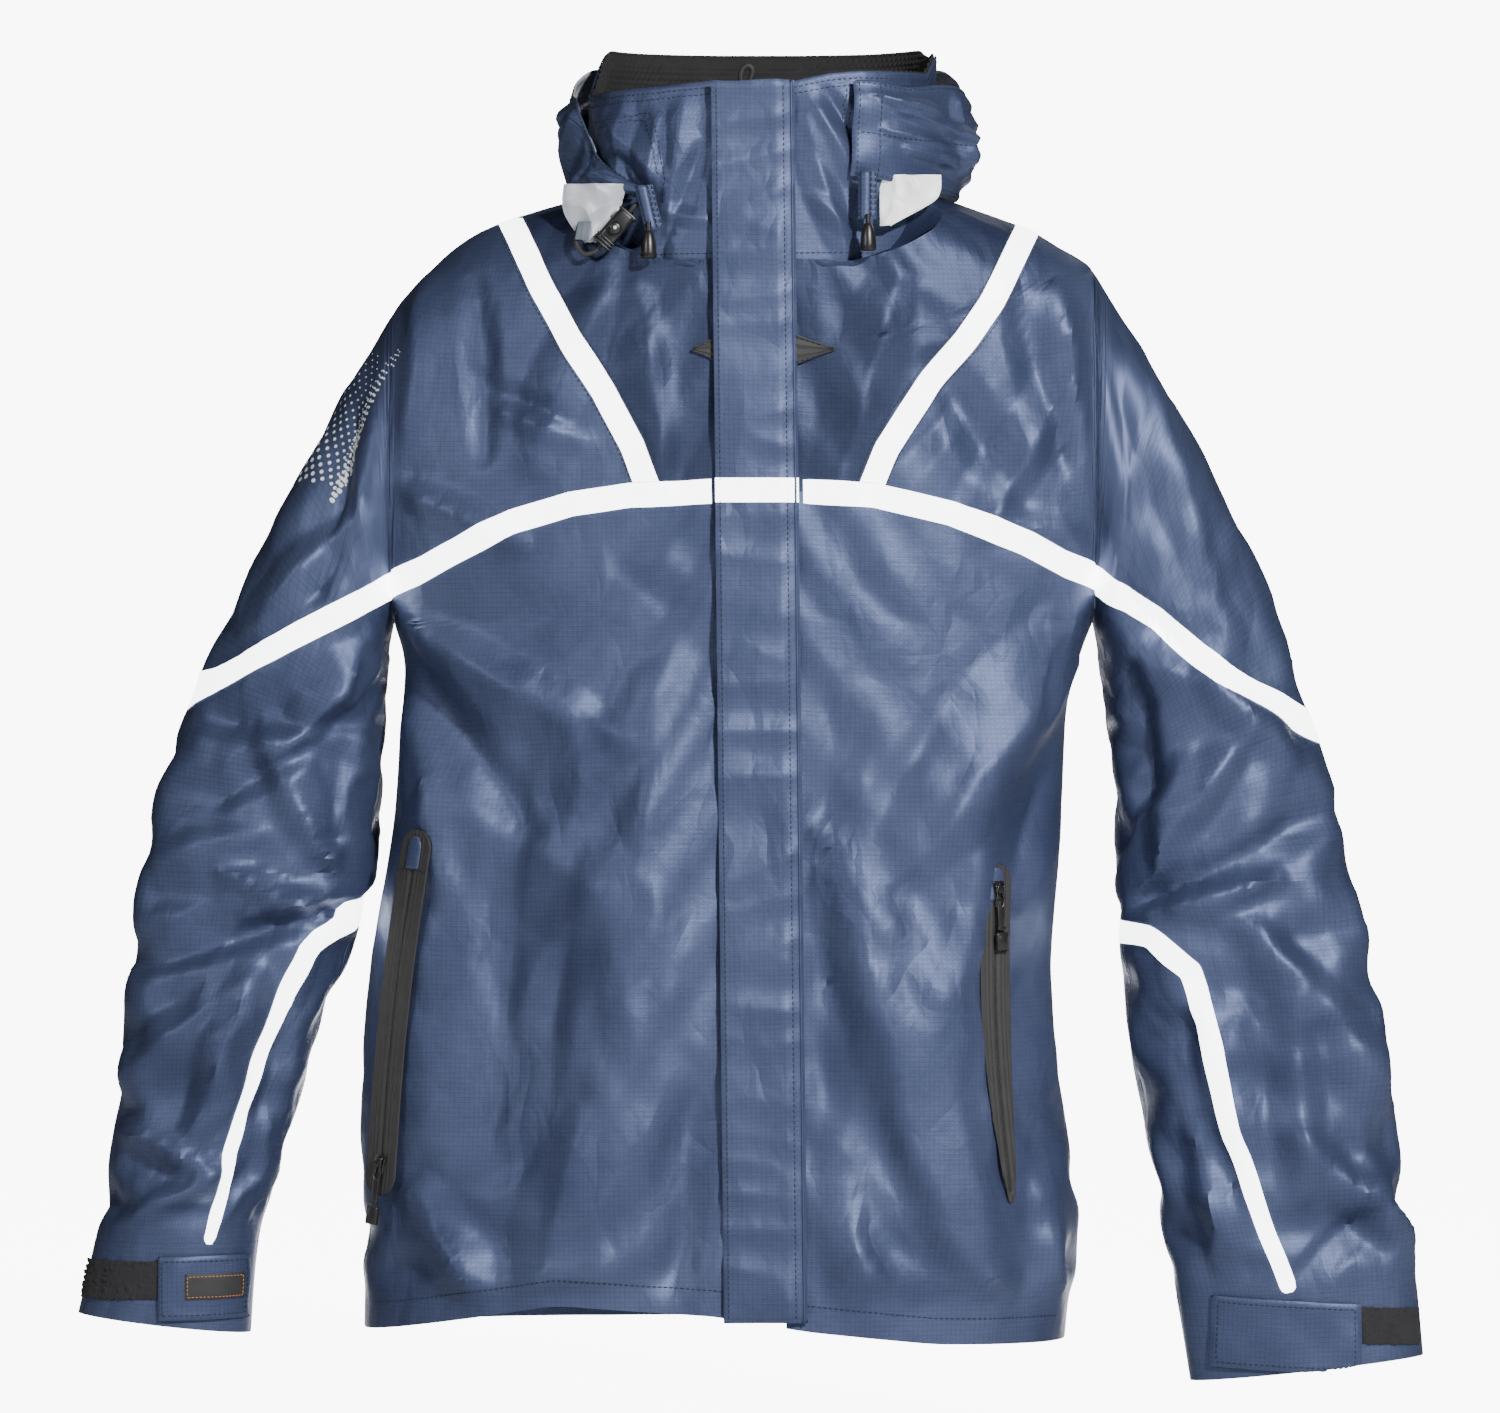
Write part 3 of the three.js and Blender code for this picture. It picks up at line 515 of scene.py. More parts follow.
PULL = 170.0  # how hard the cloth is drawn down; its threads take most of its weight
FARTHEST_SLIDE = 12.0
HOLD_SHAPE = 0.012  # share of each step that draws the cloth back to its form
SIDE_LINE = -65.0  # y between the front and the back
STEP_TIME = 1 / 60
FOLD_SEED = 11
ACROSS_SPARE = [(-740, 0.008), (-300, 0.006), (-60, 0.004), (0, 0.0), (20, 0.0)]
ALONG_SPARE = [(-740, 0.0), (-250, 0.0), (-100, 0.002), (0, 0.0), (20, 0.0)]
SLEEVE_ALONG = [(-1, 0.005), (2, 0.015), (4, 0.03), (6, 0.03), (8, 0.02), (8.8, 0.01), (10, 0.0)]
SLEEVE_ACROSS = [(-1, 0.005), (1, 0.012), (7, 0.012), (8.8, 0.005), (9, 0.0), (10, 0.0)]


def unit(vectors):
    return vectors / np.maximum(np.linalg.norm(vectors, axis=-1, keepdims=True), 1e-9)


def point_normals(points, quads):
    """Outward normal of each point of a quad mesh."""
    across = points[quads[:, 2]] - points[quads[:, 0]]
    other = points[quads[:, 3]] - points[quads[:, 1]]
    face = np.cross(across, other)
    total = np.zeros_like(points)
    for corner in range(quads.shape[1]):
        for axis in range(3):
            total[:, axis] += np.bincount(quads[:, corner], face[:, axis], len(points))
    return unit(total)


def coloured(pairs, count):
    """Groups of pairs, where no two pairs of a group share a point."""
    used = [0] * count
    colours = []
    for a, b in pairs.tolist():
        free = ~(used[a] | used[b])
        bit = free & -free
        used[a] |= bit
        used[b] |= bit
        colours.append(bit.bit_length() - 1)
    colours = np.array(colours)
    return [np.nonzero(colours == colour)[0] for colour in range(colours.max() + 1)]


class Cloth:
    """The net with its spare length, its supports and the limits of its movement."""

    def __init__(self, net, sleeves):
        self.home = np.array(net.points, float)
        self.quads = np.array(net.quads)
        self.regions = np.array(net.regions)
        count = len(self.home)
        self.axis = np.tile([0.0, 0.0, 1.0], (count, 1))
        heights = self.home[:, 2]
        self.along = np.interp(heights, *np.array(ALONG_SPARE).T)
        self.across = np.interp(heights, *np.array(ACROSS_SPARE).T)
        self.station = np.full(count, -9.0)
        self.side = np.zeros(count)
        for side, (rings, stations) in sleeves.items():
            middles = self.home[rings].mean(1)
            tangents = unit(np.gradient(middles, axis=0))
            for ring, tangent, station in zip(rings[1:], tangents[1:], stations[1:]):
                self.axis[ring] = tangent
                self.along[ring] = np.interp(station, *np.array(SLEEVE_ALONG).T)
                self.across[ring] = np.interp(station, *np.array(SLEEVE_ACROSS).T)
                self.station[ring] = station
                self.side[ring] = SIGN[side]
        self.normals = point_normals(self.home, self.quads)
        self.limits()

    def limits(self):
        """How freely each point moves: 0 held, 1 free; and how far in and out of its form."""
        x, y, z = self.home.T
        torso = self.station < -1.5
        free = np.ones(len(x))
        free[torso & (z > TORSO_TOP - 1)] = 0
        neck = torso & (np.hypot((x - 4) / 130, (y + 70) / 100) < 1.0) & (z > -60)
        free[neck] = 0
        closure = torso & (np.abs(x - centre_at(z)) < 15) & (y < -100)
        free[closure] = 0
        free[self.station > 8.9] = 0
        free[torso & (z < -705)] *= 0.4
        self.free = free
        out = np.full(len(x), 17.0)
        inwards = np.full(len(x), 19.0)
        near_flap = smoothstep((np.abs(x - centre_at(z)) - 16) / 50)
        front = torso & (y < SIDE_LINE)
        out[front] = 2.5 + 14 * near_flap[front]
        inwards[front] = 3 + 15 * near_flap[front]
        beside = torso & (np.abs(y - SIDE_LINE) < 70) & (np.abs(x) > 150)
        out[beside] = np.minimum(out[beside], 7.0)
        for sign in (-1, 1):
            inner = (self.side == sign) & (self.normals[:, 0] * sign < -0.55)
            out[inner] = 4.0
        out[~torso & (self.station < 0.2)] = 9.0
        tight = smoothstep((self.station - 7.9) / 1.0)
        out *= 1 - tight * (self.station > 0)
        inwards *= 1 - tight * (self.station > 0)
        shoulder = torso & (z > -110) & (np.abs(x) > 60)
        inwards[shoulder] = np.minimum(inwards[shoulder], 7.0)
        self.out, self.inwards = out, inwards

    def constraints(self, net):
        """Threads, their diagonals and their stiffness in bending, each as (pairs, lengths, strength)."""
        quads = self.quads
        sides = np.concatenate([quads[:, [0, 1]], quads[:, [1, 2]], quads[:, [2, 3]], quads[:, [3, 0]]])
        threads = np.unique(np.sort(sides, 1), axis=0)
        diagonals = np.concatenate([quads[:, [0, 2]], quads[:, [1, 3]]])
        skips = []
        for chain in net.chains:
            chain = np.array(chain)
            skips.append(np.stack([chain[:-2], chain[2:]], -1))
        skips = np.unique(np.sort(np.concatenate(skips), 1), axis=0)
        skips = skips[skips[:, 0] != skips[:, 1]]
        made = []
        for pairs, strength in ((threads, 0.9), (diagonals, 0.35), (skips, 0.05)):
            made.append((pairs, self.cut_length(pairs), np.full(len(pairs), strength)))
        return [np.concatenate(column) for column in zip(*made)]

    def cut_length(self, pairs):
        a, b = pairs.T
        gap = self.home[b] - self.home[a]
        axis = unit(self.axis[a] + self.axis[b])
        along = np.sum(gap * axis, -1)
        across = np.linalg.norm(gap - along[:, None] * axis, axis=-1)
        spare_along = 1 + (self.along[a] + self.along[b]) / 2
        spare_across = 1 + (self.across[a] + self.across[b]) / 2
        return np.hypot(along * spare_along, across * spare_across)

    def settle(self, net, start, steps, sweeps):
        pairs, lengths, strengths = self.constraints(net)
        groups = []
        for group in coloured(pairs, len(self.home)):
            a, b = pairs[group].T
            total = np.maximum(self.free[a] + self.free[b], 1e-6)
            share = strengths[group] / total
            groups.append((a, b, lengths[group], (share * self.free[a])[:, None],
                           (share * self.free[b])[:, None]))
        points = start.copy()
        speed = np.zeros_like(points)
        hold = (HOLD_SHAPE * self.free + (1 - self.free) * 0.5)[:, None]
        falls = np.array([0, 0, -PULL * STEP_TIME]) * self.free[:, None]
        for _ in range(steps):
            speed = speed * 0.96 + falls
            before = points.copy()
            points += speed * STEP_TIME
            for _ in range(sweeps):
                for a, b, length, share_a, share_b in groups:
                    gap = points[b] - points[a]
                    now = np.sqrt(np.einsum("ij,ij->i", gap, gap))
                    gap *= ((now - length) / now)[:, None]
                    points[a] += gap * share_a
                    points[b] -= gap * share_b
            move = points - self.home
            move *= 1 - hold
            depth = np.sum(move * self.normals, -1)
            allowed = np.clip(depth, -self.inwards, self.out)
            slide = move - depth[:, None] * self.normals
            length = np.linalg.norm(slide, axis=-1, keepdims=True)
            slide *= FARTHEST_SLIDE / np.maximum(length, FARTHEST_SLIDE)
            points = self.home + slide + allowed[:, None] * self.normals
            speed = (points - before) / STEP_TIME
        return points


def cloud(points, scale, seed):
    """A smooth random value at each point, from a sum of seeded waves."""
    random = np.random.default_rng(seed)
    total = np.zeros(len(points))
    for _ in range(24):
        wave = random.normal(size=3)
        wave *= 2 * math.pi / scale / np.linalg.norm(wave) * random.uniform(0.6, 1.5)
        total += np.sin(points @ wave + random.uniform(0, 2 * math.pi))
    return total / math.sqrt(12)


# Sharp folds on the front: both ends in (x, z), the width of each flank and the height of the ridge.
CREASES = [
    # Wearer's right sleeve.
    (-246, -282, -305, -348, 14, 24, 7), (-263, -333, -384, -331, 10, 22, -4),
    (-256, -345, -262, -432, 12, 16, 6), (-320, -340, -288, -414, 26, 16, 8),
    (-288, -414, -254, -434, 14, 12, 7), (-256, -440, -332, -456, 12, 14, 6),
    (-258, -448, -398, -492, 13, 28, -6), (-266, -466, -348, -428, 12, 14, 6),
    (-380, -335, -412, -560, 40, 22, 7), (-330, -498, -364, -600, 26, 18, 8),
    (-408, -562, -335, -500, 18, 30, 6), (-414, -598, -348, -628, 14, 14, 5),
    (-340, -622, -398, -657, 14, 14, 5), (-326, -640, -352, -676, 10, 12, 4),
    (-300, -96, -335, -255, 34, 22, 7), (-262, -120, -286, -246, 16, 18, -6),
    (-270, -200, -322, -268, 14, 18, 6), (-350, -170, -372, -290, 24, 20, 5),
    (-300, -560, -318, -640, 12, 16, 5), (-296, -350, -352, -382, 14, 16, -5),
    (-380, -420, -322, -404, 16, 18, 5),
    # Wearer's left sleeve.
    (250, -89, 300, -230, 34, 20, 7), (302, -142, 356, -292, 26, 24, 6),
    (244, -250, 290, -292, 14, 18, -5), (244, -452, 324, -338, 22, 16, 8),
    (246, -456, 384, -386, 15, 22, -6), (248, -460, 344, -432, 12, 16, 7),
    (284, -356, 250, -440, 18, 14, 7), (383, -356, 414, -584, 20, 40, 7),
    (335, -470, 414, -572, 18, 32, 8), (354, -516, 362, -638, 20, 20, 6),
    (362, -604, 430, -670, 16, 20, 7), (355, -706, 428, -638, 14, 14, -5),
    (296, -520, 330, -640, 20, 18, 6), (292, -600, 316, -700, 14, 16, 6),
    (300, -300, 352, -352, 18, 20, 6), (250, -300, 262, -380, 14, 18, -6),
    (400, -600, 436, -700, 16, 16, 5),
    # Body, from the armholes down.
    (-226, -262, -118, -334, 18, 34, 7), (-228, -282, -150, -402, 20, 30, -6),
    (-230, -300, -200, -436, 16, 26, 7), (-152, -296, -78, -346, 12, 18, 3),
    (-62, -318, -104, -722, 62, 44, 10), (-150, -350, -172, -606, 52, 50, -9),
    (-110, -600, -142, -728, 28, 34, 7), (-216, -640, -168, -724, 24, 24, 7),
    (-196, -380, -60, -470, 34, 44, 5), (228, -262, 106, -424, 28, 46, 9),
    (230, -300, 168, -444, 22, 28, -7), (52, -330, 46, -600, 26, 44, -5),
    (54, -436, 140, -680, 66, 28, 11), (104, -560, 158, -730, 30, 34, 8),
    (190, -640, 204, -732, 16, 16, 5), (150, -380, 128, -560, 40, 36, 7),
    (60, -640, 84, -735, 22, 26, 6), (-40, -560, -48, -720, 20, 26, -4),
    # Yokes and shoulders.
    (-96, -42, -142, -160, 20, 26, 5), (-72, -56, -58, -178, 16, 24, 4),
    (-160, -128, -108, -150, 10, 12, 3), (-170, -112, -122, -134, 10, 12, -3),
    (-216, -44, -242, -176, 22, 22, 6), (-182, -46, -176, -156, 16, 18, -5),
    (-236, -176, -150, -214, 14, 16, 5), (96, -42, 58, -176, 22, 30, 5),
    (122, -98, 172, -180, 22, 22, -5), (200, -52, 234, -202, 24, 18, 7),
    (212, -98, 152, -208, 16, 24, 5), (176, -60, 206, -160, 18, 18, -4),
    (236, -214, 150, -196, 14, 14, 4),
]
BACK_CREASES = 34
SEAM_REACH = 20.0
FOLD_HEIGHT = 1.9
CREASE_SEED = 23


def back_creases():
    """Long soft drapes down the back and across the sleeves behind."""
    random = np.random.default_rng(CREASE_SEED)
    made = []
    for _ in range(BACK_CREASES):
        x, z = random.uniform(-220, 200), random.uniform(-560, -90)
        length, lean = random.uniform(120, 300), random.uniform(-0.35, 0.35)
        width = random.uniform(24, 60)
        made.append((x, z, x + lean * length, max(z - length, -720), width, width * 0.7,
                     random.choice([-1, 1]) * width * 0.15))
    for sign in (-1, 1):
        for z in range(-660, -120, 44):
            inner = np.interp(z, [-720, -430, -120], [300, 246, 232])
            start, end = inner + random.uniform(0, 30), inner + random.uniform(70, 130)
            made.append((sign * start, z + random.uniform(-14, 14), sign * end, z + random.uniform(-50, 50),
                         15, 24, random.choice([-1, 1]) * random.uniform(4, 7)))
    return made


def crease_push(places, creases):
    """Height of a set of ridges, each a line with two straight flanks, at places in (x, z)."""
    push = np.zeros(len(places))
    for x0, z0, x1, z1, one_flank, other_flank, height in creases:
        gap, t = near_segment(places, (x0, z0), (x1, z1))
        turned = (x1 - x0) * (places[:, 1] - z0) - (z1 - z0) * (places[:, 0] - x0)
        ends = np.sin(math.pi * (0.12 + 0.76 * t)) ** 0.8
        width = np.where(turned > 0, one_flank, other_flank) * (0.4 + 0.6 * ends)
        push += FOLD_HEIGHT * height * ends * np.clip(1 - gap / width, 0, 1)
    return push


def near_segment(places, start, end):
    """Distance from a segment, and how far along it from 0 to 1."""
    start, end = np.array(start, float), np.array(end, float)
    line = end - start
    t = np.clip((places - start) @ line / (line @ line), 0, 1)
    return np.linalg.norm(places - start - t[:, None] * line, axis=-1), t


CRUMPLE_SEED = 5
CRUMPLE_CELL = (62.0, 165.0)
CRUMPLE_HEIGHT = 8.0


def facets(u, v, cell, seed):
    """Flat facets between sharp folds on cloth coordinates: 0 on a fold, rising to about 0.5 between."""
    random = np.random.default_rng(seed)
    table = random.random((64, 64, 2))
    places = np.stack([u, 0 * u, v], -1)
    across = u / cell[0] + 0.35 * cloud(places, 3 * cell[0], seed + 1)
    along = v / cell[1] + 0.25 * cloud(places, 3 * cell[0], seed + 2)
    column, row = np.floor(across).astype(int), np.floor(along).astype(int)
    gaps = []
    for i in (-1, 0, 1):
        for j in (-1, 0, 1):
            jitter = table[(column + i) % 64, (row + j) % 64]
            gaps.append(np.hypot(column + i + jitter[:, 0] - across, row + j + jitter[:, 1] - along))
    nearest = np.sort(gaps, axis=0)
    return (nearest[1] - nearest[0]) / 2


def started(cloth):
    """The form with the first shape of its folds."""
    home = cloth.home
    push = 2.6 * cloud(home, 190, FOLD_SEED) + 1.1 * cloud(home, 60, FOLD_SEED + 1)
    push = np.clip(push * cloth.free, -cloth.inwards, cloth.out)
    return home + push[:, None] * cloth.normals


# ---------- Fine cloth, cut into panels ----------

class Fine:
    """The settled cloth at twice the fineness, with its form, its weave and its normals beside it."""

    def __init__(self, cloth, net):
        weave = weave_places(cloth, net)
        self.settled, quads, regions = subdivided(cloth.settled, cloth.quads, cloth.regions)
        self.home = subdivided(cloth.home, cloth.quads, cloth.regions)[0]
        limits = np.stack([cloth.free, cloth.out, cloth.inwards], -1)
        free, out, inwards = subdivided(limits, cloth.quads, cloth.regions)[0].T
        ways = point_normals(self.home, quads)
        places = self.home[:, [0, 2]]
        push = np.where(ways[:, 1] < 0.05, crease_push(places, CREASES), 0)
        push += np.where(ways[:, 1] > 0.05, crease_push(places, back_creases()), 0)
        push *= np.clip(np.abs(ways[:, 1] - 0.05) / 0.6, 0, 1) * np.clip(free, 0, 1)
        depth = np.sum((self.settled - self.home) * ways, -1)
        push = np.clip(depth + push, -inwards, out) - depth
        self.settled = self.settled + push[:, None] * ways
        calm = self.seam_calm()[:, None]
        self.settled = self.home + (self.settled - self.home) * calm
        self.weave = subdivided(weave, cloth.quads, cloth.regions)[0]
        self.settled = self.settled + self.crumples(ways, free)[:, None] * ways
        self.normals = point_normals(self.settled, quads)
        self.data = np.hstack([self.settled, self.home, self.weave, self.normals])
        flat = quads[:, [0, 1, 2, 0, 2, 3]].reshape(-1, 3)
        self.triangles = flat
        self.regions = np.repeat(regions, 2)
        self.trees = {}

    def crumples(self, ways, free):
        """Heights of the large facets, calm at the closure, the seams and the silhouette."""
        u, v, station = self.weave.T
        height = facets(u + 40 * station.round(), v, CRUMPLE_CELL, CRUMPLE_SEED) - 0.22
        patchy = np.clip(0.75 + 0.5 * cloud(self.home, 260, CRUMPLE_SEED + 3), 0.25, 1.2)
        facing = np.clip(np.abs(ways[:, 1]) / 0.6, 0, 1)
        sleeve = station > -5
        calm = self.seam_calm() * np.clip(free, 0, 1) * facing
        calm[sleeve] *= np.clip((8.7 - station[sleeve]) / 1.5, 0, 1)
        closure = ~sleeve & (self.home[:, 1] < SIDE_LINE)
        calm[closure] *= np.clip((np.abs(u[closure]) - 26) / 30, 0, 1)
        return CRUMPLE_HEIGHT * height * patchy * calm

    def seam_calm(self):
        """How much of its settling the cloth keeps: little beside the armholes, where it would fold over."""
        x, _, z = self.home.T
        calm = np.ones(len(x))
        for side, plane in SHOULDER_PLANE.items():
            low, high = ARMHOLE[side]
            beside = (z > low - 20) & (z < high + 20) & (x * SIGN[side] > 0)
            gap = np.clip(np.abs(x - plane) / SEAM_REACH, 0.2, 1)
            calm[beside] = np.minimum(calm, gap)[beside]
        return calm

    def region(self, *numbers):
        chosen = self.triangles[np.isin(self.regions, numbers)]
        return self.data, chosen

    def tree(self, *numbers):
        """Finds places on the front or back of some regions from above the form."""
        if numbers not in self.trees:
            chosen = self.triangles[np.isin(self.regions, numbers)]
            flat = BVHTree.FromPolygons(self.home.tolist(), chosen.tolist(), all_triangles=True)
            self.trees[numbers] = (flat, chosen)
        return self.trees[numbers]

    def locate(self, x, z, numbers, behind=False):
        """Settled place and normal of the cloth above (x, z) of the form."""
        flat, chosen = self.tree(*numbers)
        start = Vector((x, 500 if behind else -500, z))
        hit, _, index, _ = flat.ray_cast(start, Vector((0, -1 if behind else 1, 0)))
        if index is None:
            near, _, index, _ = flat.find_nearest(Vector((x, 60 if behind else -150, z)))
            hit = near
        corners = chosen[index]
        a, b, c = self.home[corners]
        shares = np.linalg.lstsq(np.stack([b - a, c - a], -1), np.array(hit) - a, rcond=None)[0]
        weights = np.array([1 - shares.sum(), *shares])
        return weights @ self.settled[corners], unit(weights @ self.normals[corners])


def weave_places(cloth, net):
    """Threads' coordinates on the flat cloth: round the garment, and along it."""
    home = cloth.home
    places = np.zeros_like(home)
    places[:, 2] = cloth.station
    for chain in net.chains:
        chain = np.array(chain[:-1] if chain[0] == chain[-2] else chain)
        level = np.ptp(home[chain, 2]) < 90 and len(chain) > COLUMNS
        if not level:
            continue
        steps = np.linalg.norm(np.diff(home[chain], axis=0), axis=1)
        length = np.concatenate([[0], np.cumsum(steps)])
        ahead = slice(0, COLUMNS + 1)
        order = np.argsort(home[chain[ahead], 0])
        middle = np.interp(4, home[chain[ahead], 0][order], length[ahead][order])
        places[chain, 0] = length - middle
        places[chain, 1] = home[chain, 2]
    for side in SIGN:
        sleeve = cloth.side == SIGN[side]
        middle = SLEEVE_MIDDLE[side]
        index = cloth.station[sleeve]
        centre = np.stack([np.interp(index, np.arange(len(middle)), middle[:, k]) for k in range(3)], -1)
        offset = home[sleeve] - centre
        angle = np.arctan2(offset[:, 1], offset[:, 0] * SIGN[side])
        places[sleeve, 0] = angle * 62
        places[sleeve, 1] = np.linalg.norm(centre - middle[0], axis=-1)
    return places


def middle_of_sleeve(side):
    table = SLEEVE[side]
    return np.stack([(table[:, 0] + table[:, 2]) / 2, table[:, 4], (table[:, 1] + table[:, 3]) / 2], -1)


SLEEVE_MIDDLE = {side: middle_of_sleeve(side) for side in SIGN}


def subdivided(points, quads, regions, levels=1):
    """A quad mesh after Catmull-Clark subdivision: its points, quads and regions."""
    mesh = bpy.data.meshes.new("coarse")
    mesh.from_pydata(points.tolist(), [], quads.tolist())
    mesh.polygons.foreach_set("material_index", regions.astype(np.int32))
    for _ in range(int(regions.max()) + 1):
        mesh.materials.append(None)
    holder = added("coarse", mesh)
    modifier = holder.modifiers.new("finer", "SUBSURF")
    modifier.levels = levels
    modifier.boundary_smooth = "ALL"
    fine = holder.evaluated_get(bpy.context.evaluated_depsgraph_get()).to_mesh()
    made = np.zeros(len(fine.vertices) * 3)
    fine.vertices.foreach_get("co", made)
    faces = np.zeros(len(fine.loops), np.int32)
    fine.loops.foreach_get("vertex_index", faces)
    numbers = np.zeros(len(fine.polygons), np.int32)
    fine.polygons.foreach_get("material_index", numbers)
    bpy.data.objects.remove(holder)
    bpy.data.meshes.remove(mesh)
    return made.reshape(-1, 3), faces.reshape(-1, 4), numbers


def clipped(data, triangles, field):
    """The part of a triangle mesh where the field is positive; crossed edges get new points."""
    field = np.where(np.abs(field) < 0.03, 0.03, field)
    keep = field > 0
    code = keep[triangles] @ np.array([1, 2, 4])
    pieces = [triangles[code == 7]]
    edges = []
    rows = []
    for first, alone, paired in ((0, 1, 6), (1, 2, 5), (2, 4, 3)):
        order = [first, (first + 1) % 3, (first + 2) % 3]
        rows.append(("one", triangles[code == alone][:, order]))
        rows.append(("two", triangles[code == paired][:, order]))
    for _, part in rows:
        edges += [part[:, [0, 1]], part[:, [0, 2]]]
    edges = np.sort(np.concatenate(edges), 1)
    if not len(edges):
        return data, triangles[code == 7]
    unique, inverse = np.unique(edges, axis=0, return_inverse=True)
    inverse = inverse.reshape(-1) + len(data)
    a, b = unique.T
    share = (field[a] / (field[a] - field[b]))[:, None]
    data = np.vstack([data, data[a] + share * (data[b] - data[a])])
    at = 0
    for kind, part in rows:
        count = len(part)
        first, second = inverse[at:at + count], inverse[at + count:at + 2 * count]
        at += 2 * count
        if kind == "one":
            pieces.append(np.stack([part[:, 0], first, second], -1))
        else:
            pieces.append(np.stack([first, part[:, 1], part[:, 2]], -1))
            pieces.append(np.stack([first, part[:, 2], second], -1))
    return data, np.concatenate(pieces)


def cut(data, triangles, *fields):
    """The mesh clipped by one field after another; a field is a function of home x, y and z."""
    for field in fields:
        data, triangles = clipped(data, triangles, field(*data[:, 3:6].T))
    used, compact = np.unique(triangles, return_inverse=True)
    return data[used], compact.reshape(-1, 3)


SHARP = math.radians(50)


def made_mesh(name, points, triangles, materials, indices=None, weave=None, smooth=True):
    mesh = bpy.data.meshes.new(name)
    triangles = np.asarray(triangles, np.int32)
    corners = triangles.shape[1]
    mesh.vertices.add(len(points))
    mesh.vertices.foreach_set("co", (np.asarray(points) * MM).astype(np.float32).ravel())
    mesh.loops.add(triangles.size)
    mesh.loops.foreach_set("vertex_index", triangles.ravel())
    mesh.polygons.add(len(triangles))
    mesh.polygons.foreach_set("loop_start", np.arange(0, triangles.size, corners, dtype=np.int32))
    mesh.polygons.foreach_set("loop_total", np.full(len(triangles), corners, np.int32))
    for material in materials:
        mesh.materials.append(material)
    if indices is not None:
        mesh.polygons.foreach_set("material_index", indices.astype(np.int32))
    mesh.polygons.foreach_set("use_smooth", np.full(len(triangles), smooth))
    mesh.update(calc_edges=True)
    mesh.validate()
    if weave is not None:
        attribute = mesh.attributes.new("weave", "FLOAT_VECTOR", "POINT")
        attribute.data.foreach_set("vector", (weave * MM).astype(np.float32).ravel())
    if smooth:
        mesh.set_sharp_from_angle(angle=SHARP)
    return added(name, mesh)


def outline_edges(triangles):
    """Directed edges that only one triangle has."""
    edges = np.concatenate([triangles[:, [0, 1]], triangles[:, [1, 2]], triangles[:, [2, 0]]])
    both = {tuple(edge) for edge in edges.tolist()}
    return np.array([edge for edge in edges.tolist() if (edge[1], edge[0]) not in both], int).reshape(-1, 2)


def shell(name, data, triangles, low, high, materials, facing=None):
    """A closed layer of cloth between two heights above the settled surface; below the facing's height its
    inner side is the outer cloth, turned in."""
    points, normals = data[:, :3], unit(data[:, 9:12])
    count = len(points)
    both = np.vstack([points + normals * high, points + normals * low])
    a, b = outline_edges(triangles).T
    walls = np.concatenate([np.stack([b, a, a + count], -1), np.stack([b, a + count, b + count], -1)])
    faces = np.concatenate([triangles, triangles[:, ::-1] + count, walls])
    indices = np.concatenate([np.zeros(len(triangles)), np.ones(len(triangles)), np.zeros(len(walls))])
    indices = np.minimum(indices, len(materials) - 1)
    if facing is not None:
        indices = np.where(both[faces].mean(1)[:, 2] < facing, 0, indices)
    weave = np.vstack([data[:, 6:9]] * 2)
    return made_mesh(name, both, faces, materials, indices, weave)


# Fields of the form: positive on the side that is kept.

def above_line(line, gap=0.2):
    """Above a seam line drawn in (x, z)."""
    x0, z0 = np.array(line, float)[np.argsort(np.array(line)[:, 0])].T
    return lambda x, y, z: z - np.interp(x, x0, z0) - gap


def below_line(line, gap=0.2):
    over = above_line(line, 0)
    return lambda x, y, z: -over(x, y, z) - gap


def beside_line(line, towards, gap=0.2):
    """On the side of a steep line that lies towards +1 (wearer's left) or -1."""
    z0, x0 = np.array(line, float)[np.argsort(np.array(line)[:, 1])][:, ::-1].T
    return lambda x, y, z: towards * (x - np.interp(z, z0, x0)) - gap


def along_line(line, width, last=None):
    """Within half a width of a line drawn in (x, z); the width may run evenly to a last width."""
    line = np.array(line, float)
    widths = np.linspace(width, width if last is None else last, len(line))

    def field(x, y, z):
        places = np.stack([x, z], -1)
        inside = []
        for a, b, near, far in zip(line[:-1], line[1:], widths[:-1], widths[1:]):
            gap, t = near_segment(places, a, b)
            inside.append((near + (far - near) * t) / 2 - gap)
        return np.max(inside, axis=0)
    return field


def past_closure(side):
    return lambda x, y, z: SIGN[side] * (x - centre_at(z)) - 13


FABRIC = 1.0
TAPE_WIDTH = 16.0
FOREARM_TAPE_END = {"right": 7.0, "left": 11.0}
HEM_FACING = -690.0


def dressed(piece, body, slot, *nodes):
    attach(piece, body)
    return covered(piece, slot, *nodes)


def covered(piece, slot, *nodes):
    if nodes:
        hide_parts(*nodes)
    return piece


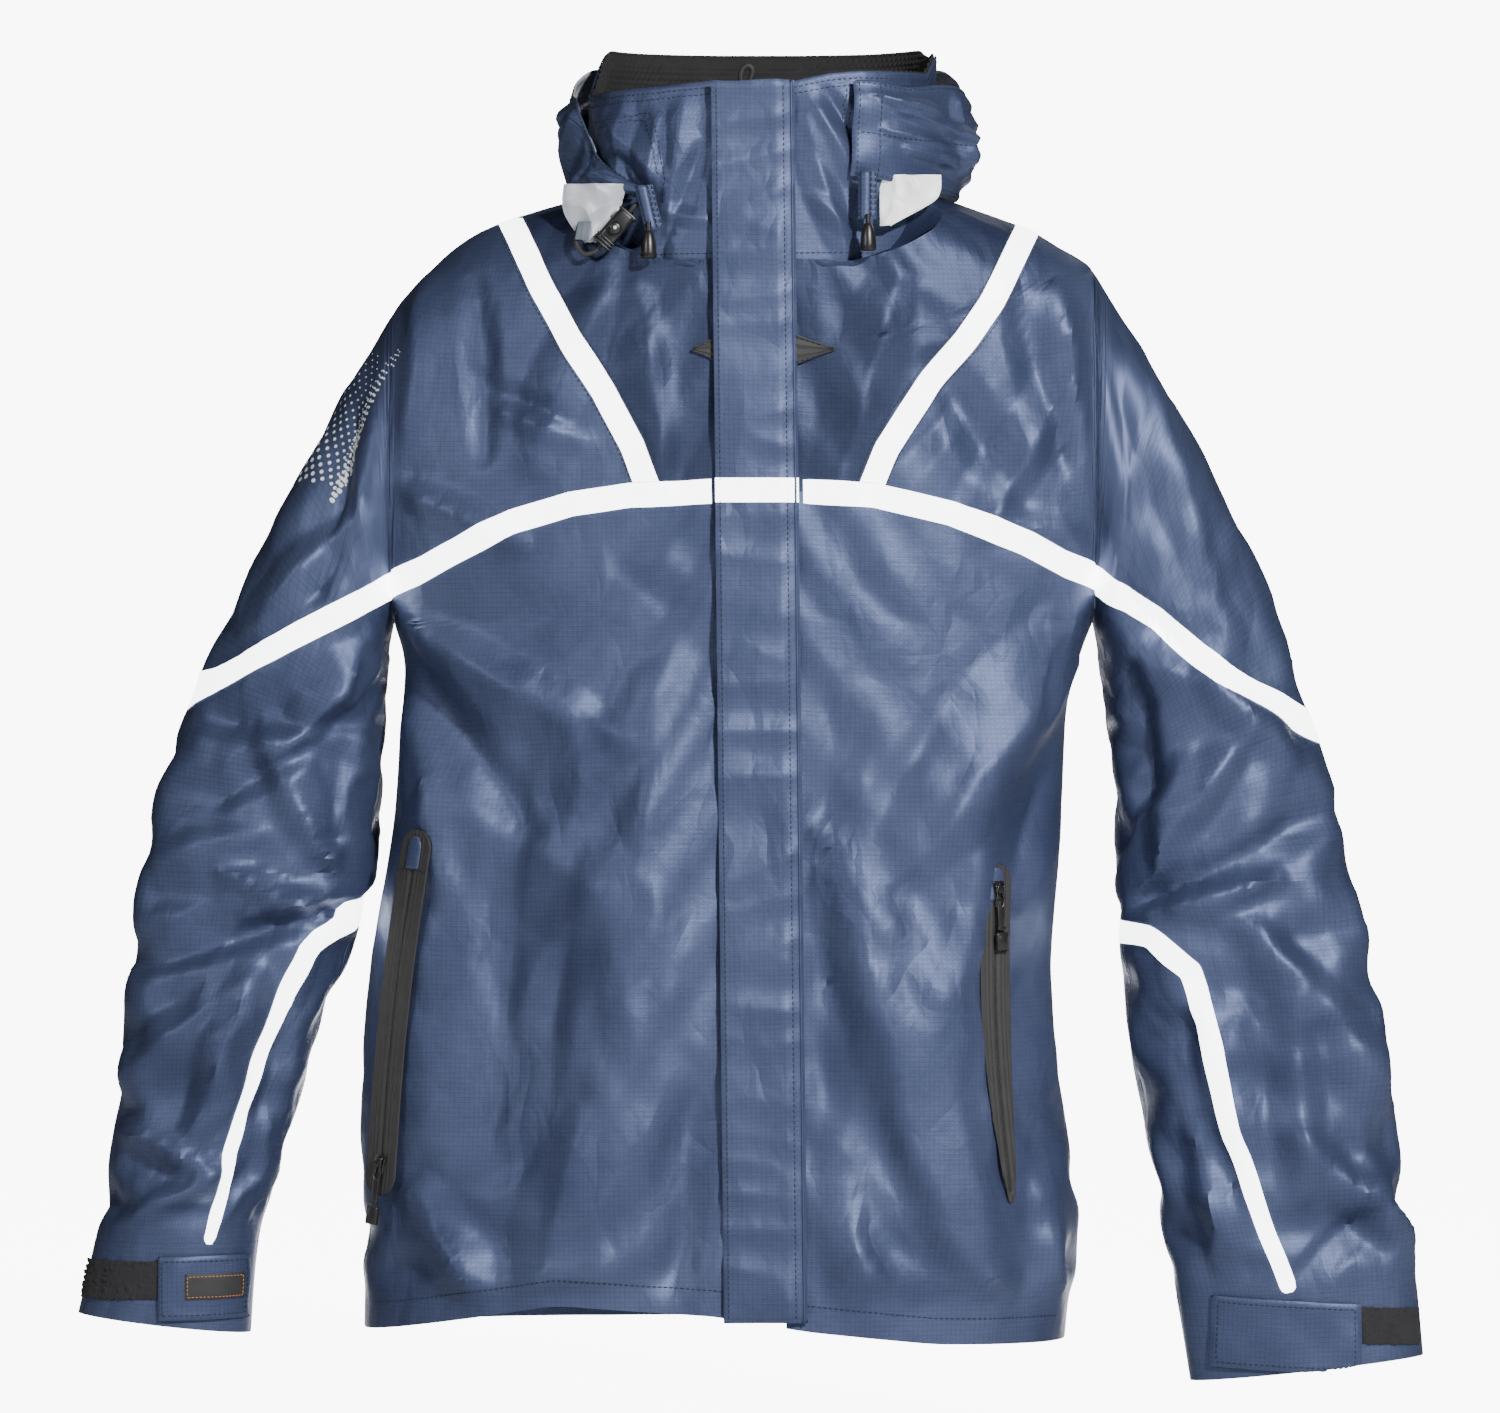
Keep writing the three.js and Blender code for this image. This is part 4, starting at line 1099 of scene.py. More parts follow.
def torso_pieces(fine, stuff):
    cloth = (stuff["navy"], stuff["lining"])
    yoke = (stuff["yoke"], stuff["lining"])
    for side in SIGN:
        away = SIGN[side]
        chest, shoulder = CHEST_LINE[side], SHOULDER_LINE[side]
        base = cut(*fine.region(FRONT), past_closure(side))
        over = cut(*base, above_line(chest))
        for name, part, materials, slot in (
            ("front_panel", cut(*base, below_line(chest)), cloth, "navy_ripstop"),
            ("front_yoke", cut(*over, beside_line(shoulder, -away)), yoke, "dark_ripstop"),
            ("shoulder_panel", cut(*over, beside_line(shoulder, away)), cloth, "navy_ripstop"),
        ):
            piece = shell(f"{side}_{name}_cloth", *part, -FABRIC, 0, materials, HEM_FACING)
            dressed(piece, "torso", slot, f"{side}_{name}")
        tape = (stuff["tape"],)
        clear = lambda x, y, z: away * (x - centre_at(z)) - 30
        chest_tape = cut(*base, clear, along_line(chest, TAPE_WIDTH))
        piece = shell(f"{side}_chest_tape_film", *chest_tape, 0.15, 0.6, tape)
        dressed(piece, "torso", "reflective_tape", f"{side}_chest_tape")
        shoulder_tape = cut(*over, along_line(shoulder, TAPE_WIDTH), above_line(chest, TAPE_WIDTH / 2 + 0.3))
        piece = shell(f"{side}_shoulder_tape_film", *shoulder_tape, 0.15, 0.6, tape)
        dressed(piece, "torso", "reflective_tape", f"{side}_shoulder_tape")
    back = fine.region(BACK)
    piece = shell("back_panel_cloth", *cut(*back, below_line(YOKE_LINE)), -FABRIC, 0, cloth, HEM_FACING)
    dressed(piece, "torso", "navy_ripstop", "back_panel")
    piece = shell("back_yoke_cloth", *cut(*back, above_line(YOKE_LINE)), -FABRIC, 0, yoke)
    dressed(piece, "torso", "dark_ripstop", "back_yoke")
    back_tape = cut(*back, along_line(YOKE_LINE, TAPE_WIDTH))
    piece = shell("back_chest_tape_film", *back_tape, 0.15, 0.6, (stuff["tape"],))
    dressed(piece, "torso", "reflective_tape", "back_chest_tape")


def sleeve_pieces(fine, stuff):
    cloth = (stuff["navy"], stuff["lining"])
    tape = (stuff["tape"],)
    for side in SIGN:
        upper = fine.region(UPPER[side])
        piece = shell(f"{side}_upper_sleeve_cloth", *cut(*upper), -FABRIC, 0, cloth)
        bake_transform(piece)
        covered(piece, "navy_ripstop", f"{side}_upper_sleeve")
        piece = shell(f"{side}_sleeve_tape_film", *cut(*upper, along_line(SLEEVE_LINE[side], TAPE_WIDTH)),
                      0.15, 0.6, tape)
        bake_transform(piece)
        covered(piece, "reflective_tape", f"{side}_sleeve_tape")
        fore = fine.region(FORE[side])
        piece = shell(f"{side}_forearm_cloth", *cut(*fore), -FABRIC, 0, cloth)
        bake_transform(piece)
        covered(piece, "navy_ripstop", f"{side}_forearm")
        ahead = lambda x, y, z: -80 - y
        line = along_line(FOREARM_LINE[side], TAPE_WIDTH, FOREARM_TAPE_END[side])
        piece = shell(f"{side}_forearm_tape_film", *cut(*fore, line, ahead), 0.15, 0.6, tape)
        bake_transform(piece)
        covered(piece, "reflective_tape", f"{side}_forearm_tape")
        cuff = cut(*fine.region(CUFFS[side]))
        piece = shell(f"{side}_cuff_cloth", *cuff, -1.6, 0.2, (stuff["navy"], stuff["lining"]))
        dressed(piece, f"{side}_forearm", "dark_ripstop", f"{side}_cuff")


# ---------- Sewn pieces drawn as grids ----------

def grid_normals(grid):
    across = np.gradient(grid, axis=1)
    along = np.gradient(grid, axis=0)
    return unit(np.cross(across, along))


def cloud_on(grid, scale, seed):
    """A smooth random value at each point of a grid."""
    return cloud(grid.reshape(-1, 3), scale, seed).reshape(grid.shape[:-1])


def creases(points, scale, seed):
    """Sharp ridges at random, from -1 to 1: crumpled cloth."""
    return 1 - 1.5 * np.abs(cloud_on(points, scale, seed))


def quads_of(rows, columns, start=0):
    index = np.arange(rows * columns).reshape(rows, columns) + start
    corners = (index[:-1, :-1], index[:-1, 1:], index[1:, 1:], index[1:, :-1])
    return np.stack(corners, -1).reshape(-1, 4)


def sewn(name, grid, thickness, materials, round_off=1.5, inner=1):
    """A closed sheet with rounded edges from a grid of points on its outer side, cloth facing its normals."""
    rows, columns = grid.shape[:2]
    normals = grid_normals(grid)
    lengths = np.cumsum(np.linalg.norm(np.diff(grid, axis=0, prepend=grid[:1]), axis=-1), 0)
    widths = np.cumsum(np.linalg.norm(np.diff(grid, axis=1, prepend=grid[:, :1]), axis=-1), 1)
    to_end = np.minimum(lengths, lengths[-1] - lengths)
    to_edge = np.minimum(to_end, np.minimum(widths, widths[:, -1:] - widths))
    near = 1 - np.clip(to_edge / round_off, 0, 1)
    share = np.sqrt(np.clip(1 - near * near, 0, 1))[..., None]
    middle = grid - normals * thickness / 2
    outer = middle + normals * thickness / 2 * share
    under = middle - normals * thickness / 2 * share
    index = np.arange(rows * columns).reshape(rows, columns)
    below = index + rows * columns
    border = np.ones((rows, columns), bool)
    border[1:-1, 1:-1] = False
    below[border] = index[border]
    front = quads_of(rows, columns)
    corners = (below[:-1, :-1], below[1:, :-1], below[1:, 1:], below[:-1, 1:])
    back = np.stack(corners, -1).reshape(-1, 4)
    points = np.vstack([outer.reshape(-1, 3), under.reshape(-1, 3)])
    faces = np.concatenate([front, back])
    used, compact = np.unique(faces, return_inverse=True)
    indices = np.repeat([0, min(inner, len(materials) - 1)], [len(front), len(back)])
    weave = np.stack([widths, lengths, 0 * widths], -1).reshape(-1, 3)
    weave = np.vstack([weave, weave])[used]
    return made_mesh(name, points[used], compact.reshape(-1, 4), materials, indices, weave)


STITCH = 2.6
STITCH_GAP = 1.1
THREAD = 0.36


def evenly(points, pitch):
    length = np.linalg.norm(np.diff(points, axis=0), axis=1).sum()
    return even(points, max(int(length / pitch) + 1, 2))


class Stitches:
    """Rows of short thread segments that lie on the cloth, gathered in one mesh."""

    def __init__(self):
        self.points = []
        self.faces = []

    def row(self, points, normals=None, out=(0, -1, 0), radius=THREAD, stitch=STITCH, gap=STITCH_GAP):
        points = np.asarray(points, float)
        pitch = stitch + gap
        places = evenly(points, pitch / 4)
        if normals is None:
            fields = np.tile(np.array(out, float), (len(places), 1))
        else:
            length = np.linspace(0, 1, len(points))
            fields = np.stack([np.interp(np.linspace(0, 1, len(places)), length, normals[:, k])
                               for k in range(3)], -1)
        for at in range(0, len(places) - 3, 4):
            self.segment(places[at], places[at + 3], fields[at], radius)

    def segment(self, start, end, out, radius):
        along = end - start
        size = np.linalg.norm(along)
        if size < 1e-6:
            return
        along = along / size
        aside = unit(np.cross(along, out))
        up = np.cross(aside, along)
        first = len(self.points)
        for share, swell, rise in ((0, 0.3, -0.6), (0.18, 1, 0.5), (0.82, 1, 0.5), (1, 0.3, -0.6)):
            middle = start + along * size * share + up * radius * rise
            for turn in (45, 135, 225, 315):
                a = math.radians(turn)
                self.points.append(middle + (aside * math.cos(a) + up * math.sin(a)) * radius * swell)
        for ring in range(3):
            for k in range(4):
                a, b = first + ring * 4 + k, first + ring * 4 + (k + 1) % 4
                self.faces.append((a, b, b + 4, a + 4))
        self.faces.append((first + 3, first + 2, first + 1, first))
        self.faces.append((first + 12, first + 13, first + 14, first + 15))

    def made(self, name, material, body, slot):
        piece = made_mesh(name, np.array(self.points), np.array(self.faces), (material,))
        return dressed(piece, body, slot)


def onto_front(x, y, z):
    """From the upright frame of the closure to the front of the jacket."""
    x, y, z = np.broadcast_arrays(np.asarray(x, float), np.asarray(y, float), np.asarray(z, float))
    return np.stack([x + centre_at(z), y + front_at(z), z], -1)


FLAP_TOP = 85.0
FLAP_BOTTOM = -724.0
FLAP_RIGHT = -27.5
FLAP_LEFT = 27.0


def flap_lift(x, z):
    """How far the flap's outer side stands in front of the closure: less where it is sewn down."""
    sewn_down = smoothstep((x - 14) / 13)
    lift = 7.2 - 3.6 * sewn_down
    points = np.stack([x * 0.6, 0 * x, z], -1)
    pucker = cloud_on(points, 55, 31)
    wave = cloud_on(points * 0.35, 60, 32)
    dent = 1.8 * np.exp(-((z + 300) / 16) ** 2) * np.clip((20 - x) / 40, 0, 1)
    calm = np.clip((FLAP_TOP - z) / 30, 0, 1)
    crease = creases(np.stack([x * 0.25, 0 * x, z], -1), 44, 33)
    return lift + (0.55 * pucker + 0.9 * wave + 0.9 * crease + dent) * (1 - 0.6 * sewn_down) * calm


def flap_pieces(stuff, threads):
    z = np.linspace(FLAP_BOTTOM, FLAP_TOP, 300)
    x = np.linspace(FLAP_RIGHT, FLAP_LEFT, 26)
    wide = x[None] + 0 * z[:, None]
    tall = z[:, None] + 0 * x[None] + 1.2 * np.sin(x / 9)[None] * (z > 60)[:, None] * 0.6
    grid = onto_front(wide, -flap_lift(wide, tall), tall)
    piece = sewn("storm_flap_cloth", grid, 2.2, (stuff["navy"], stuff["navy"]), round_off=1.6)
    dressed(piece, "storm_flap", "navy_ripstop", "storm_flap")
    band = np.linspace(-191, -175, 9)
    wide = x[None] + 0 * band[:, None]
    tall = band[:, None] + 0 * wide
    grid = onto_front(wide, -flap_lift(wide, tall) - 0.55, tall)
    piece = sewn("flap_tape_film", grid, 0.5, (stuff["tape"],), round_off=0.4)
    dressed(piece, "storm_flap", "reflective_tape", "flap_tape")
    for across in (19.5, -24.2):
        z = np.linspace(FLAP_BOTTOM + 3, FLAP_TOP - 3, 400)
        wide = np.full_like(z, across)
        threads["flap"].row(onto_front(wide, -flap_lift(wide, z) - 0.05, z))
    z = np.linspace(FLAP_BOTTOM, FLAP_TOP, 300)
    ring = np.linspace(0, 2 * math.pi, 9)[:-1]
    ridge = FLAP_LEFT - 2.2
    rows = []
    for angle in ring:
        wide = ridge + 0.9 * np.cos(angle) + 0 * z
        lift = flap_lift(np.full_like(z, ridge), z) + 0.2 + 0.8 * np.sin(angle)
        rows.append(onto_front(wide, -lift, z))
    tube = np.stack(rows, 1)
    piece = tube_mesh("flap_piping", tube, stuff["navy"])
    dressed(piece, "storm_flap", "navy_ripstop")


def tube_mesh(name, rings, material, closed=False):
    """A tube through rings of points, closed by a fan at each end."""
    count, around = rings.shape[:2]
    index = np.arange(count * around).reshape(count, around)
    turned = np.roll(index, -1, 1)
    faces = np.stack([index[:-1], turned[:-1], turned[1:], index[1:]], -1).reshape(-1, 4).tolist()
    points = rings.reshape(-1, 3)
    if not closed:
        points = np.vstack([points, rings[0].mean(0), rings[-1].mean(0)])
        first, last = len(points) - 2, len(points) - 1
        for k in range(around):
            n = (k + 1) % around
            faces.append((index[0, n], index[0, k], first))
            faces.append((index[-1, k], index[-1, n], last))
    mesh = bpy.data.meshes.new(name)
    mesh.from_pydata((points * MM).tolist(), [], faces)
    mesh.materials.append(material)
    for polygon in mesh.polygons:
        polygon.use_smooth = True
    bm = bmesh.new()
    bm.from_mesh(mesh)
    bmesh.ops.recalc_face_normals(bm, faces=bm.faces)
    bm.to_mesh(mesh)
    bm.free()
    return added(name, mesh)


def frames_along(path):
    """Two directions across a path at each of its points, turning as little as possible."""
    tangents = unit(np.gradient(path, axis=0))
    side = unit(np.cross(tangents[0], [0.31, 0.52, 0.79]))
    sides = []
    for tangent in tangents:
        side = unit(side - tangent * (side @ tangent))
        sides.append(side)
    sides = np.array(sides)
    return sides, np.cross(tangents, sides)


def cord_mesh(name, path, radii, material, around=10, flat=1.0):
    sides, ups = frames_along(path)
    angle = np.linspace(0, 2 * math.pi, around + 1)[:-1]
    radii = np.broadcast_to(radii, len(path))[:, None, None]
    rings = path[:, None] + radii * (np.cos(angle)[None, :, None] * sides[:, None]
                                     + flat * np.sin(angle)[None, :, None] * ups[:, None])
    return tube_mesh(name, rings, material)


# ---------- Collar and hood ----------

COVER = np.array([
    [-30, -112, 128, 30, 2.6], [10, -117, 133, 38, 2.6], [50, -118, 135, 42, 2.6],
    [90, -115, 136, 34, 2.6], [112, -110, 134, 26, 2.6],
], float)
COLLAR_TOP = [(-125, 112), (-112, 88), (-106, 80), (-60, 82), (-27, 85), (28, 85), (50, 90), (70, 92),
              (116, 93), (124, 112)]


def collar_bottom(angle):
    off = np.abs(np.degrees(np.mod(angle, 2 * math.pi)) - 270)
    return TORSO_TOP - 8 - (NECK_DIP + 4) * (1 - smoothstep((off - 74) / 30))


def collar_height(angle):
    """Top edge of the collar: low at the front, high at the back."""
    x = tube_point(COLLAR, angle, 80 + 0 * angle)[..., 0]
    front = np.interp(x, *np.array(COLLAR_TOP).T)
    behind = smoothstep(np.sin(angle) / 0.45)
    return front + (115 - front) * np.where(np.sin(angle) > 0, behind, 0)


# Topstitching of the patch on the wearer's right collar front and of the seams beside it, in (x, z).
COLLAR_STITCHES = {
    "right": (
        [(-104, 60), (-66, 65), (-62, 50), (-57, 22), (-58, 4)],
        [(-101, 57), (-70, 61), (-66, 48), (-61, 22)],
        [(-100, 38), (-84, 14), (-70, 8)],
    ),
    "left": ([(62, 80), (60, 60), (66, 30)], [(66, 79), (64, 60), (69, 32)]),
}


def line_on_grid(grid, line):
    """Points and normals of a grid's front nearest to a line drawn in (x, z)."""
    normals = grid_normals(grid)
    flat, ways = grid.reshape(-1, 3), normals.reshape(-1, 3)
    places = even(np.array([(x, 0, z) for x, z in line], float), 40)
    gaps = np.abs(flat[None, :, 0] - places[:, None, 0]) + np.abs(flat[None, :, 2] - places[:, None, 2])
    gaps = gaps + 1000 * (flat[None, :, 1] > -70)
    nearest = gaps.argmin(1)
    return flat[nearest], ways[nearest]


COLLAR_CREASES = [
    (-98, 66, -60, 22, 12, 16, 3.2), (-62, 62, -66, 6, 8, 14, 3.0), (-44, 78, -56, -24, 16, 12, 2.6),
    (-34, 40, -60, -30, 12, 10, -2.4), (-90, 40, -64, 10, 8, 8, -2.6), (-30, -6, -62, 0, 8, 8, 2.0),
    (36, 78, 66, 26, 12, 16, 3.4), (34, 60, 62, -26, 10, 16, 2.6), (50, 78, 70, 44, 8, 10, -2.6),
    (40, 10, 62, -12, 8, 10, 2.2), (92, 60, 80, 10, 10, 10, 2.6), (-84, 78, -88, 20, 10, 10, 2.4),
]


def collar_grid(angles, rows, lift, amplitude, scale, seed, top=0.0):
    share = np.linspace(0, 1, rows)[:, None]
    low, high = collar_bottom(angles)[None], collar_height(angles)[None] + top
    z = low + (high - low) * share
    around = angles[None] + 0 * share
    grid = tube_point(COLLAR, around, np.maximum(z, -44))
    normals = grid_normals(grid)
    if normals[rows // 2, len(angles) // 2] @ (grid[rows // 2, len(angles) // 2] - [4, -70, 40]) < 0:
        normals = -normals
    calm = np.clip(np.minimum(share, 1 - share) * 6, 0.15, 1)
    folds = crease_push(grid[..., [0, 2]].reshape(-1, 2), COLLAR_CREASES).reshape(z.shape)
    ahead = np.clip(-normals[..., 1] / 0.4, 0, 1)
    wave = cloud_on(grid, scale, seed)
    push = lift + (amplitude * wave + folds * ahead) * calm
    return grid + normals * push[..., None]


def angle_at(table, x, z):
    """Angle on the front of a tube at a distance from the middle."""
    _, right, left, _, square = sections(table, z)
    share = np.clip((x - (left + right) / 2) / ((left - right) / 2), -1, 1)
    return 2 * math.pi - math.acos(math.copysign(abs(share) ** (square / 2), share))


def collar_pieces(stuff, threads):
    cloth = (stuff["navy"], stuff["yoke"])
    near_right = angle_at(COLLAR, -12.0, 20)
    near_left = angle_at(COLLAR, 15.0, 20)
    for side, first, last, seed in (("right", math.pi, near_right, 41), ("left", near_left, 2 * math.pi, 44)):
        grid = collar_grid(np.linspace(first, last, 110), 90, -0.4, 0.5, 60, seed)
        piece = sewn(f"{side}_collar_front_cloth", grid, 1.6, cloth)
        dressed(piece, "torso", "dark_ripstop", f"{side}_collar_front")
        for depth in (4.0, 8.0):
            at = int((1 - depth / 130) * 89)
            threads["collar"].row(grid[at, 1:109], grid_normals(grid)[at, 1:109])
        row, normals = grid[11, 1:109], grid_normals(grid)[11, 1:109]
        threads["collar"].row(row, normals)
        for line in COLLAR_STITCHES[side]:
            threads["collar"].row(*line_on_grid(grid, line))
    grid = collar_grid(np.linspace(0, math.pi, 90), 60, -0.4, 0.6, 60, 47)
    piece = sewn("collar_back_cloth", grid, 1.6, cloth)
    dressed(piece, "torso", "dark_ripstop", "collar_back")
    fleece_piece(stuff)


def neck_facing(net, front, stuff):
    """The yoke's turned edge, reaching in to the collar where the neck is open."""
    edge = np.array([net.points[index] for index in front[-1]])
    edge = edge[np.abs(edge[:, 0] - 4) > 30]
    for side, part in (("right", edge[edge[:, 0] < 0]), ("left", edge[edge[:, 0] > 0])):
        part = even(part, 60)
        angles = 1.5 * math.pi + np.arctan2((part[:, 0] - 4) / 115, -(part[:, 1] + 70) / 92)
        inner = tube_point(COLLAR, angles, part[:, 2] - 7)
        share = np.linspace(0, 1, 8)[:, None, None]
        start = part + [0, 0, -0.8]
        grid = start[None] * (1 - share) + inner[None] * share
        grid[..., 2] -= 2.0 * np.sin(math.pi * share[..., 0])
        piece = sewn(f"{side}_neck_facing", grid, 1.0, (stuff["yoke"],), round_off=0.4)
        dressed(piece, "torso", "dark_ripstop")


FLEECE_PITCH = 4.6


def fleece_piece(stuff):
    first, last = angle_at(COLLAR, 30.0, 20) - 2 * math.pi, angle_at(COLLAR, -26.0, 20)
    angles = np.linspace(last, first, 420)
    share = np.linspace(0, 1, 96)[:, None]
    low, high = collar_bottom(angles)[None] + 2, collar_height(angles)[None] + 1.5
    z = low + (high - low) * share
    grid = tube_point(COLLAR, angles[None] + 0 * share, z)
    normals = grid_normals(grid)
    steps = np.linalg.norm(np.diff(grid[40], axis=0, prepend=grid[40][:1]), axis=1)
    width = np.cumsum(steps)[None] + 0 * share
    row = np.round(z / (FLEECE_PITCH * 0.87))
    u = (width + (row % 2) * FLEECE_PITCH / 2) / FLEECE_PITCH
    v = z / (FLEECE_PITCH * 0.87)
    gap = np.hypot(u - np.round(u), (v - row) * 0.87)
    bumps = 1.5 * np.clip(1 - (gap / 0.52) ** 2, 0, 1)
    soft = 1.4 * cloud_on(grid, 60, 51)
    inwards = 3.6 + 3.4 * smoothstep(np.minimum(share, 1 - share) * 9) + bumps + soft * 0.3
    sign = 1 if normals[48, 200] @ (np.array([4, -70, 60]) - grid[48, 200]) > 0 else -1
    grid = grid + sign * normals * inwards[..., None]
    piece = sewn("collar_fleece_pile", grid, 2.0, (stuff["fleece"],), round_off=2)
    dressed(piece, "torso", "black_fleece", "collar_fleece")


COVER_LOW = [(-124, 13), (-71, 10), (58, 22), (72, 22), (128, 13)]
RIGHT_BAND_TOP = [(-124, 88), (-112, 76), (-106, 58), (-99, 38), (-88, 28), (-72, 16)]


# Folds near the cover's ends, as in CREASES, but (distance from that end, height).
COVER_RIGHT_CREASES = [
    (14, 66, 52, 24, 12, 16, 4), (30, 80, 46, 20, 10, 14, -4), (50, 78, 92, 34, 14, 18, 4.5),
    (6, 30, 60, 22, 8, 12, 3),
]
COVER_LEFT_CREASES = [
    (20, 74, 66, 66, 6, 16, 4), (30, 66, 84, 52, 6, 14, 4), (24, 52, 70, 44, 6, 12, 3),
    (40, 40, 100, 36, 8, 12, 3.5), (84, 84, 92, 30, 10, 14, 4), (66, 34, 120, 24, 8, 10, 3),
]


def cover_creases(length):
    """Drooping folds of the hood's cover: (distance round the cover, height)."""
    made = list(COVER_RIGHT_CREASES)
    for start, z0, end, z1, *rest in COVER_LEFT_CREASES:
        made.append((length - start, z0, length - end, z1, *rest))
    random = np.random.default_rng(CREASE_SEED)
    at = 100.0
    while at < length - 110:
        z = random.uniform(24, 84)
        end_at = at + random.uniform(40, 80)
        end_z = z + random.uniform(-26, 20)
        made.append((at, z, end_at, end_z, 9, 16, random.uniform(3, 5)))
        at += random.uniform(16, 26)
    return made


def softened(values, reach=8):
    """A row of values with its corners rounded."""
    kernel = np.hanning(2 * reach + 1)
    return np.convolve(np.pad(values, reach, mode="edge"), kernel / kernel.sum(), "valid")


def cover_pieces(stuff, threads):
    right_end = angle_at(COVER, -72.0, 20)
    left_end = angle_at(COVER, 64.0, 40) - 2 * math.pi
    angles = np.linspace(right_end, left_end, 340)
    share = np.linspace(0, 1, 60)[:, None]
    x = tube_point(COVER, angles, 30 + 0 * angles)[..., 0]
    ahead = np.sin(angles) < 0.12
    low = np.where(ahead, np.interp(x, *np.array(COVER_LOW).T), 14)
    right = np.interp(x, *np.array(RIGHT_BAND_TOP).T)
    left = 84 + 2 * np.sin(x / 9)
    behind = 88 + 16 * smoothstep(np.sin(angles) / 0.5)
    high = np.where(ahead, np.where(x < 0, right, left), behind)
    low, high = softened(low), softened(high)
    z = low[None] + (high - low)[None] * share
    grid = tube_point(COVER, angles[None] + 0 * share, z)
    normals = grid_normals(grid)
    sign = 1 if normals[30, 170] @ (grid[30, 170] - np.array([4, -70, 60])) > 0 else -1
    hang = np.clip(np.minimum(share, 1 - share) * 7, 0.25, 1)
    around = np.cumsum(np.linalg.norm(np.diff(grid[24], axis=0, prepend=grid[24][:1]), axis=1))
    places = np.stack([around[None] + 0 * z, z], -1).reshape(-1, 2)
    folds = crease_push(places, cover_creases(around[-1])).reshape(z.shape)
    soft = np.stack([around[None] * 0.4 + 0 * z, 0 * z, z * 1.2 + around[None] * 0.1], -1)
    folds = folds + 1.6 * cloud_on(soft, 46, 61)
    lift = 4.6 + folds * hang + 2.5 * np.sin(share * math.pi)
    grid = grid + sign * normals * lift[..., None]
    if sign < 0:
        grid = grid[:, ::-1]
    piece = sewn("hood_cover_cloth", grid, 1.6, (stuff["navy"], stuff["lining_silver"]))
    dressed(piece, "torso", "navy_ripstop", "hood_cover")
    normals = grid_normals(grid)
    for row in (2, 57):
        threads["collar"].row(grid[row, 1:-1], normals[row, 1:-1])
    for column in ((-3, -11) if sign > 0 else (2, 10)):
        threads["collar"].row(grid[1:-1, column], normals[1:-1, column])
    stitched = slice(-100, -3) if sign > 0 else slice(3, 100)
    threads["collar"].row(grid[27, stitched], normals[27, stitched])


def hood_roll(stuff):
    """The hood, rolled up between the collar and its cover."""
    angles = np.linspace(math.radians(188), math.radians(-14), 150)
    inner = tube_point(COLLAR, angles, 52 + 0 * angles)
    outer = tube_point(COVER, angles, 52 + 0 * angles)
    middle = (inner + outer) / 2
    aside = unit(outer - inner)
    half = np.linalg.norm(outer - inner, axis=-1) / 2 + 1.0
    turn = np.linspace(0, 2 * math.pi, 29)[:-1]
    end = np.sqrt(np.clip(1 - np.abs(np.linspace(-1, 1, 150)) ** 6, 0.02, 1))
    sideways = np.cos(turn)[None, :, None] * (half * end)[:, None, None] * aside[:, None]
    upwards = np.sin(turn)[None, :, None] * (33 * end)[:, None, None] * np.array([0, 0, 1.0])
    rings = middle[:, None] + (sideways + upwards)
    rings += 0.9 * creases(rings, 26, 71)[..., None] * aside[:, None]
    piece = tube_mesh("stowed_hood_roll", rings, stuff["lining_silver"])
    dressed(piece, "torso", "silver_lining", "stowed_hood")


def torso_front(x, z):
    """y of the torso's form above (x, z) on the front."""
    _, right, left, back, square = sections(TORSO, z)
    across = np.clip(np.abs(x - (left + right) / 2) / ((left - right) / 2), 0, 1)
    share = (1 - across ** square) ** (1 / square)
    return (back + front_at(z)) / 2 - (back - front_at(z)) / 2 * share


# The hood's lining below the ends of its cover: left and right edge at heights from the top down.
LININGS = (
    ("right_lining_bulge", "lining_silver", 7.0, 81,
     [(18, -123, -82), (8, -124, -84), (0, -123, -87), (-8, -119, -92), (-15, -114, -97), (-21, -109, -102)]),
    # The left bulge takes a near-white, glowing copy of the silver lining: a painted highlight.
    ("left_lining_bulge", "lining_painted_highlight", 3.0, 82,
     [(24, 84, 124), (15, 84, 124), (8, 84, 121), (2, 84, 112), (-4, 84, 101), (-10, 84, 91)]),
)


def lining_bulges(stuff):
    """The hood's silver lining, showing below both ends of the cover; at the left end it is a near-white,
    glowing copy, a painted highlight.
    """
    for name, material, swell, seed, edges in LININGS:
        table = catmull(edges, 44)
        u = np.linspace(0, 1, 56)[None]
        z = table[:, 0][:, None] + 0 * u
        x = table[:, 1][:, None] * (1 - u) + table[:, 2][:, None] * u
        dome = np.sin(math.pi * np.clip(u, 0.03, 0.97)) ** 0.6
        over_cover = tube_point(COVER, np.full_like(x, 1.5 * math.pi), z)[..., 1] + 14
        y = np.minimum(torso_front(x, np.minimum(z, 11)), over_cover) - 1.5 - swell * dome
        crumple = creases(np.stack([x * 1.3, 0 * x, z * 0.8], -1), 26, seed)
        grid = np.stack([x, y - 1.3 * crumple * dome, z], -1)[::-1]
        piece = sewn(name, grid, 1.0, (stuff[material],))
        dressed(piece, "torso", "silver_lining")
    x0, z0 = -110, -13
    u, v = np.linspace(-4.5, 4.5, 8)[None], np.linspace(-6, 6, 10)[:, None]
    x, z = x0 + u + 0.15 * v, z0 + v + 0 * u
    y = torso_front(x, z) - 12.6 - 0.4 * np.cos(u * 1.6) + 0 * v
    piece = sewn("lining_webbing_tab", np.stack([x, y, z], -1), 1.4, (stuff["grey_webbing"],), round_off=0.6)
    dressed(piece, "torso", "black_webbing")


# ---------- Closure under the flap ----------

CHAIN = (-712.0, 83.0)
TOOTH_PITCH = 3.6


